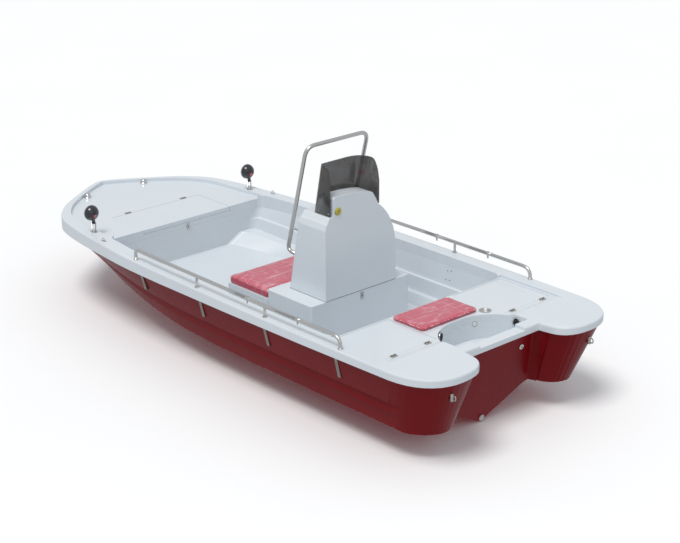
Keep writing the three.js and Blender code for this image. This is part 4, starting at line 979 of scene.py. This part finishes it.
class BOAT_OT_cushions(bpy.types.Operator):
    """Fills the two cushions by cloth simulation and adds their seams"""
    bl_idname = "boat.cushions"
    bl_label = "Cushions"

    def execute(self, context):
        sizes = context.scene.boat_sizes
        welt = welt_tree()
        stitches = stitch_tree()
        fills = (("front_cushion", 0.0078, 0.0, 0.012), ("aft_cushion", 0.006, 0.001, 0.007))
        for node, voxel, shrink, swell in fills:
            piece = self.stuffed(node, voxel, shrink, swell, sizes.fill_frames)
            settle(piece, BOAT, VINYL, node)
            self.seams(piece, node, welt, stitches, sizes)
        return {"FINISHED"}

    @staticmethod
    def stuffed(node, voxel, shrink, swell, frames):
        low, high = (Vector(corner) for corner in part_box(node))
        centre = (low + high) / 2
        work = node_mesh(node)
        size = high - low
        for vertex in work.verts:
            offset = vertex.co - centre
            vertex.co = centre + Vector([offset[i] * (1 - 2 * shrink / size[i]) for i in range(3)])
        piece = new_object(node + "_filled", smooth_mesh(node + "_filled", work, None), "film")
        bpy.context.view_layer.objects.active = piece
        remesh = piece.modifiers.new("Remesh", "REMESH")
        remesh.mode = "VOXEL"
        remesh.voxel_size = voxel
        remesh.use_smooth_shade = True
        bpy.ops.object.modifier_apply(modifier=remesh.name)
        start = [vertex.co.copy() for vertex in piece.data.vertices]
        cloth = piece.modifiers.new("Cloth", "CLOTH")
        cloth.settings.use_pressure = True
        cloth.settings.uniform_pressure_force = 4.0
        cloth.settings.effector_weights.gravity = 0.0
        cloth.settings.quality = 4
        cloth.point_cache.frame_end = frames
        scene = bpy.context.scene
        for step in range(1, frames + 1):
            scene.frame_set(step)
        graph = bpy.context.evaluated_depsgraph_get()
        filled = piece.evaluated_get(graph).to_mesh()
        moved = [vertex.co.copy() for vertex in filled.vertices]
        piece.evaluated_get(graph).to_mesh_clear()
        piece.modifiers.remove(cloth)
        scene.frame_set(1)
        for vertex, before, after in zip(piece.data.vertices, start, moved):
            step = after - before
            if step.length > swell:
                step = step.normalized() * swell
            place = before + step
            if node == "front_cushion":
                place.x = max(place.x, low.x + 0.0004)
            place.z = max(place.z, low.z + 0.0004)
            vertex.co = place
        finer = piece.modifiers.new("Finer", "SUBSURF")
        finer.levels = 1
        finer.render_levels = 1
        bpy.ops.object.modifier_apply(modifier=finer.name)
        for vertex in piece.data.vertices:
            vertex.co.z = max(vertex.co.z, low.z + 0.0004)
        return piece

    @staticmethod
    def seams(piece, node, welt, stitches, sizes):
        """A piped welt along the upper edge with stitches just inside it."""
        low, high = (Vector(corner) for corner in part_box(node))
        tree = BVHTree.FromPolygons([vertex.co for vertex in piece.data.vertices],
                                    [tuple(polygon.vertices) for polygon in piece.data.polygons])
        thickness = high.z - low.z
        corner = 0.034 if node == "front_cushion" else 0.05
        rows = {"welt": (0.002, high.z - thickness * 0.06), "stitch": (0.016, high.z + 0.004)}
        for row, (inset, height) in rows.items():
            points = []
            for quarter, (sx, sy) in enumerate(((1, 1), (-1, 1), (-1, -1), (1, -1))):
                cx = (high.x - inset - corner) if sx > 0 else (low.x + inset + corner)
                cy = (high.y - inset - corner) if sy > 0 else (low.y + inset + corner)
                for i in range(13):
                    turn = (quarter + i / 12) * math.pi / 2
                    points.append(Vector((cx + corner * math.cos(turn), cy + corner * math.sin(turn), height)))
            dense = []
            for a, b in zip(points, points[1:] + points[:1]):
                steps = max(1, int((b - a).length / 0.02))
                dense += [a.lerp(b, i / steps) for i in range(steps)]
            seated = []
            for point in dense:
                near, normal, _, _ = tree.find_nearest(point)
                seated.append(near + normal * (0.0006 if row == "welt" else 0.0002))
            edges = [(i, (i + 1) % len(seated)) for i in range(len(seated))]
            if row == "welt":
                made = run_tree(welt, f"{node}_welt", seated, edges, "seam", {"Radius": sizes.seam_radius})
            else:
                made = run_tree(stitches, f"{node}_stitches", seated, edges, "seam", {
                    "Spacing": sizes.stitch_length, "Thickness": 0.0009})
            settle(made, BOAT, VINYL)


class BOAT_OT_fasteners(bpy.types.Operator):
    """Puts pan-head screws on the hinges, latches, feet, straps and plates"""
    bl_idname = "boat.fasteners"
    bl_label = "Screws"

    def execute(self, context):
        radius = context.scene.boat_sizes.screw_radius
        screws = screw_tree()
        cross_shades = cross_shade_tree()
        places = {BOAT: self.deck_screws() + self.hull_screws(), "tower": self.screen_screws()}
        for body, spots in places.items():
            points = [spot for spot, _ in spots]
            directions = [direction for _, direction in spots]
            heads = run_tree(screws, f"{body}_screws", points, [], "steel", {
                "Radius": radius, "Height": radius * 0.5}, directions)
            settle(heads, body, STEEL)
            # Painted shade: dark crosses laid on the heads stand for the shade in their recessed slots.
            tops = [point + direction * radius * 0.48 for point, direction in spots]
            marks = run_tree(
                cross_shades, f"{body}_screw_cross_shades", tops, [], "rubber", {"Length": radius * 1.1}, directions)
            settle(marks, body, BLACK)
        return {"FINISHED"}

    @staticmethod
    def deck_screws():
        up = Vector((0, 0, 1))
        spots = []
        for side in SIDES:
            for node in (f"hatch_hinge_{side}", f"aft_hinge_{side}_outer", f"aft_hinge_{side}_inner"):
                low, high = (Vector(corner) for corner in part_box(node))
                aft = node.startswith("aft")
                x = low.x + 0.008 if aft else high.x - 0.008
                for share in (0.2, 0.8):
                    spots.append((Vector((x, low.y + (high.y - low.y) * share, low.z + 0.0028)), up))
            low, high = (Vector(corner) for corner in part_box(f"{side}_pad_eye"))
            for x in (low.x + 0.0035, high.x - 0.0035):
                spots.append((Vector((x, (low.y + high.y) / 2, low.z + 0.0033)), up))
        return spots

    @staticmethod
    def hull_screws():
        spots = []
        tree_of = {f"{side}_hull_strap_{n}": sign for side, sign in SIDES.items() for n in range(1, 5)}
        for node, sign in tree_of.items():
            low, high = (Vector(corner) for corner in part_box(node))
            tree = surface(node)
            for height in (low.z + 0.014, high.z - 0.018):
                start = Vector(((low.x + high.x) / 2, sign * 1.5, height))
                hit, normal, _, _ = tree.ray_cast(start, Vector((0, -sign, 0)))
                if hit:
                    spots.append((hit, normal))
        for node, heights in (("hatch_latch", (0.012, 0.044)), ("console_latch", (0.012, 0.044))):
            low, high = (Vector(corner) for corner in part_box(node))
            for height in heights:
                for y in (low.y + 0.005, high.y - 0.005):
                    spots.append((Vector((high.x - 0.0028, y, low.z + height)), Vector((-1, 0, 0))))
        return spots

    @staticmethod
    def screen_screws():
        tree = surface("windscreen")
        low, high = (Vector(corner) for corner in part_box("windscreen"))
        spots = []
        for x in (low.x + 0.02, high.x - 0.06):
            for sign in (1, -1):
                hit, normal, _, _ = tree.ray_cast(Vector((x, sign * 1.0, low.z + 0.02)), Vector((0, -sign, 0)))
                if hit:
                    spots.append((hit, normal))
        for share in (0.3, 0.75):
            y = low.y + (high.y - low.y) * share
            hit, normal, _, _ = tree.ray_cast(Vector((1.0, y, low.z + 0.02)), Vector((-1, 0, 0)))
            if hit:
                spots.append((hit, normal))
        return spots


class BOAT_PT_panel(bpy.types.Panel):
    """Lists the boat's parts in the sidebar"""
    bl_idname = "BOAT_PT_panel"
    bl_label = "Bass boat"
    bl_space_type = "VIEW_3D"
    bl_region_type = "UI"
    bl_category = "Boat"

    def draw(self, context):
        for group in ("boat_colours", "boat_sizes", "boat_studio"):
            owner = getattr(context.scene, group)
            for key in owner.__annotations__:
                self.layout.prop(owner, key)
        for operator in OPERATORS:
            self.layout.operator(operator.bl_idname)


OPERATORS = (BOAT_OT_stage, BOAT_OT_hull, BOAT_OT_deck, BOAT_OT_lids, BOAT_OT_console, BOAT_OT_metalwork,
             BOAT_OT_lamps, BOAT_OT_cushions, BOAT_OT_fasteners)
GROUPS = {"boat_colours": BoatColours, "boat_sizes": BoatSizes, "boat_studio": BoatStudio}


def register():
    for group in GROUPS.values():
        bpy.utils.register_class(group)
    for name, group in GROUPS.items():
        setattr(bpy.types.Scene, name, PointerProperty(type=group))
    for made in (*OPERATORS, BOAT_PT_panel):
        bpy.utils.register_class(made)


def unregister():
    for made in (BOAT_PT_panel, *reversed(OPERATORS)):
        bpy.utils.unregister_class(made)
    for name in GROUPS:
        delattr(bpy.types.Scene, name)
    for group in GROUPS.values():
        bpy.utils.unregister_class(group)


def main():
    register()
    for operator in OPERATORS:
        group, name = operator.bl_idname.split(".")
        getattr(getattr(bpy.ops, group), name)()


if __name__ == "__main__":
    main()
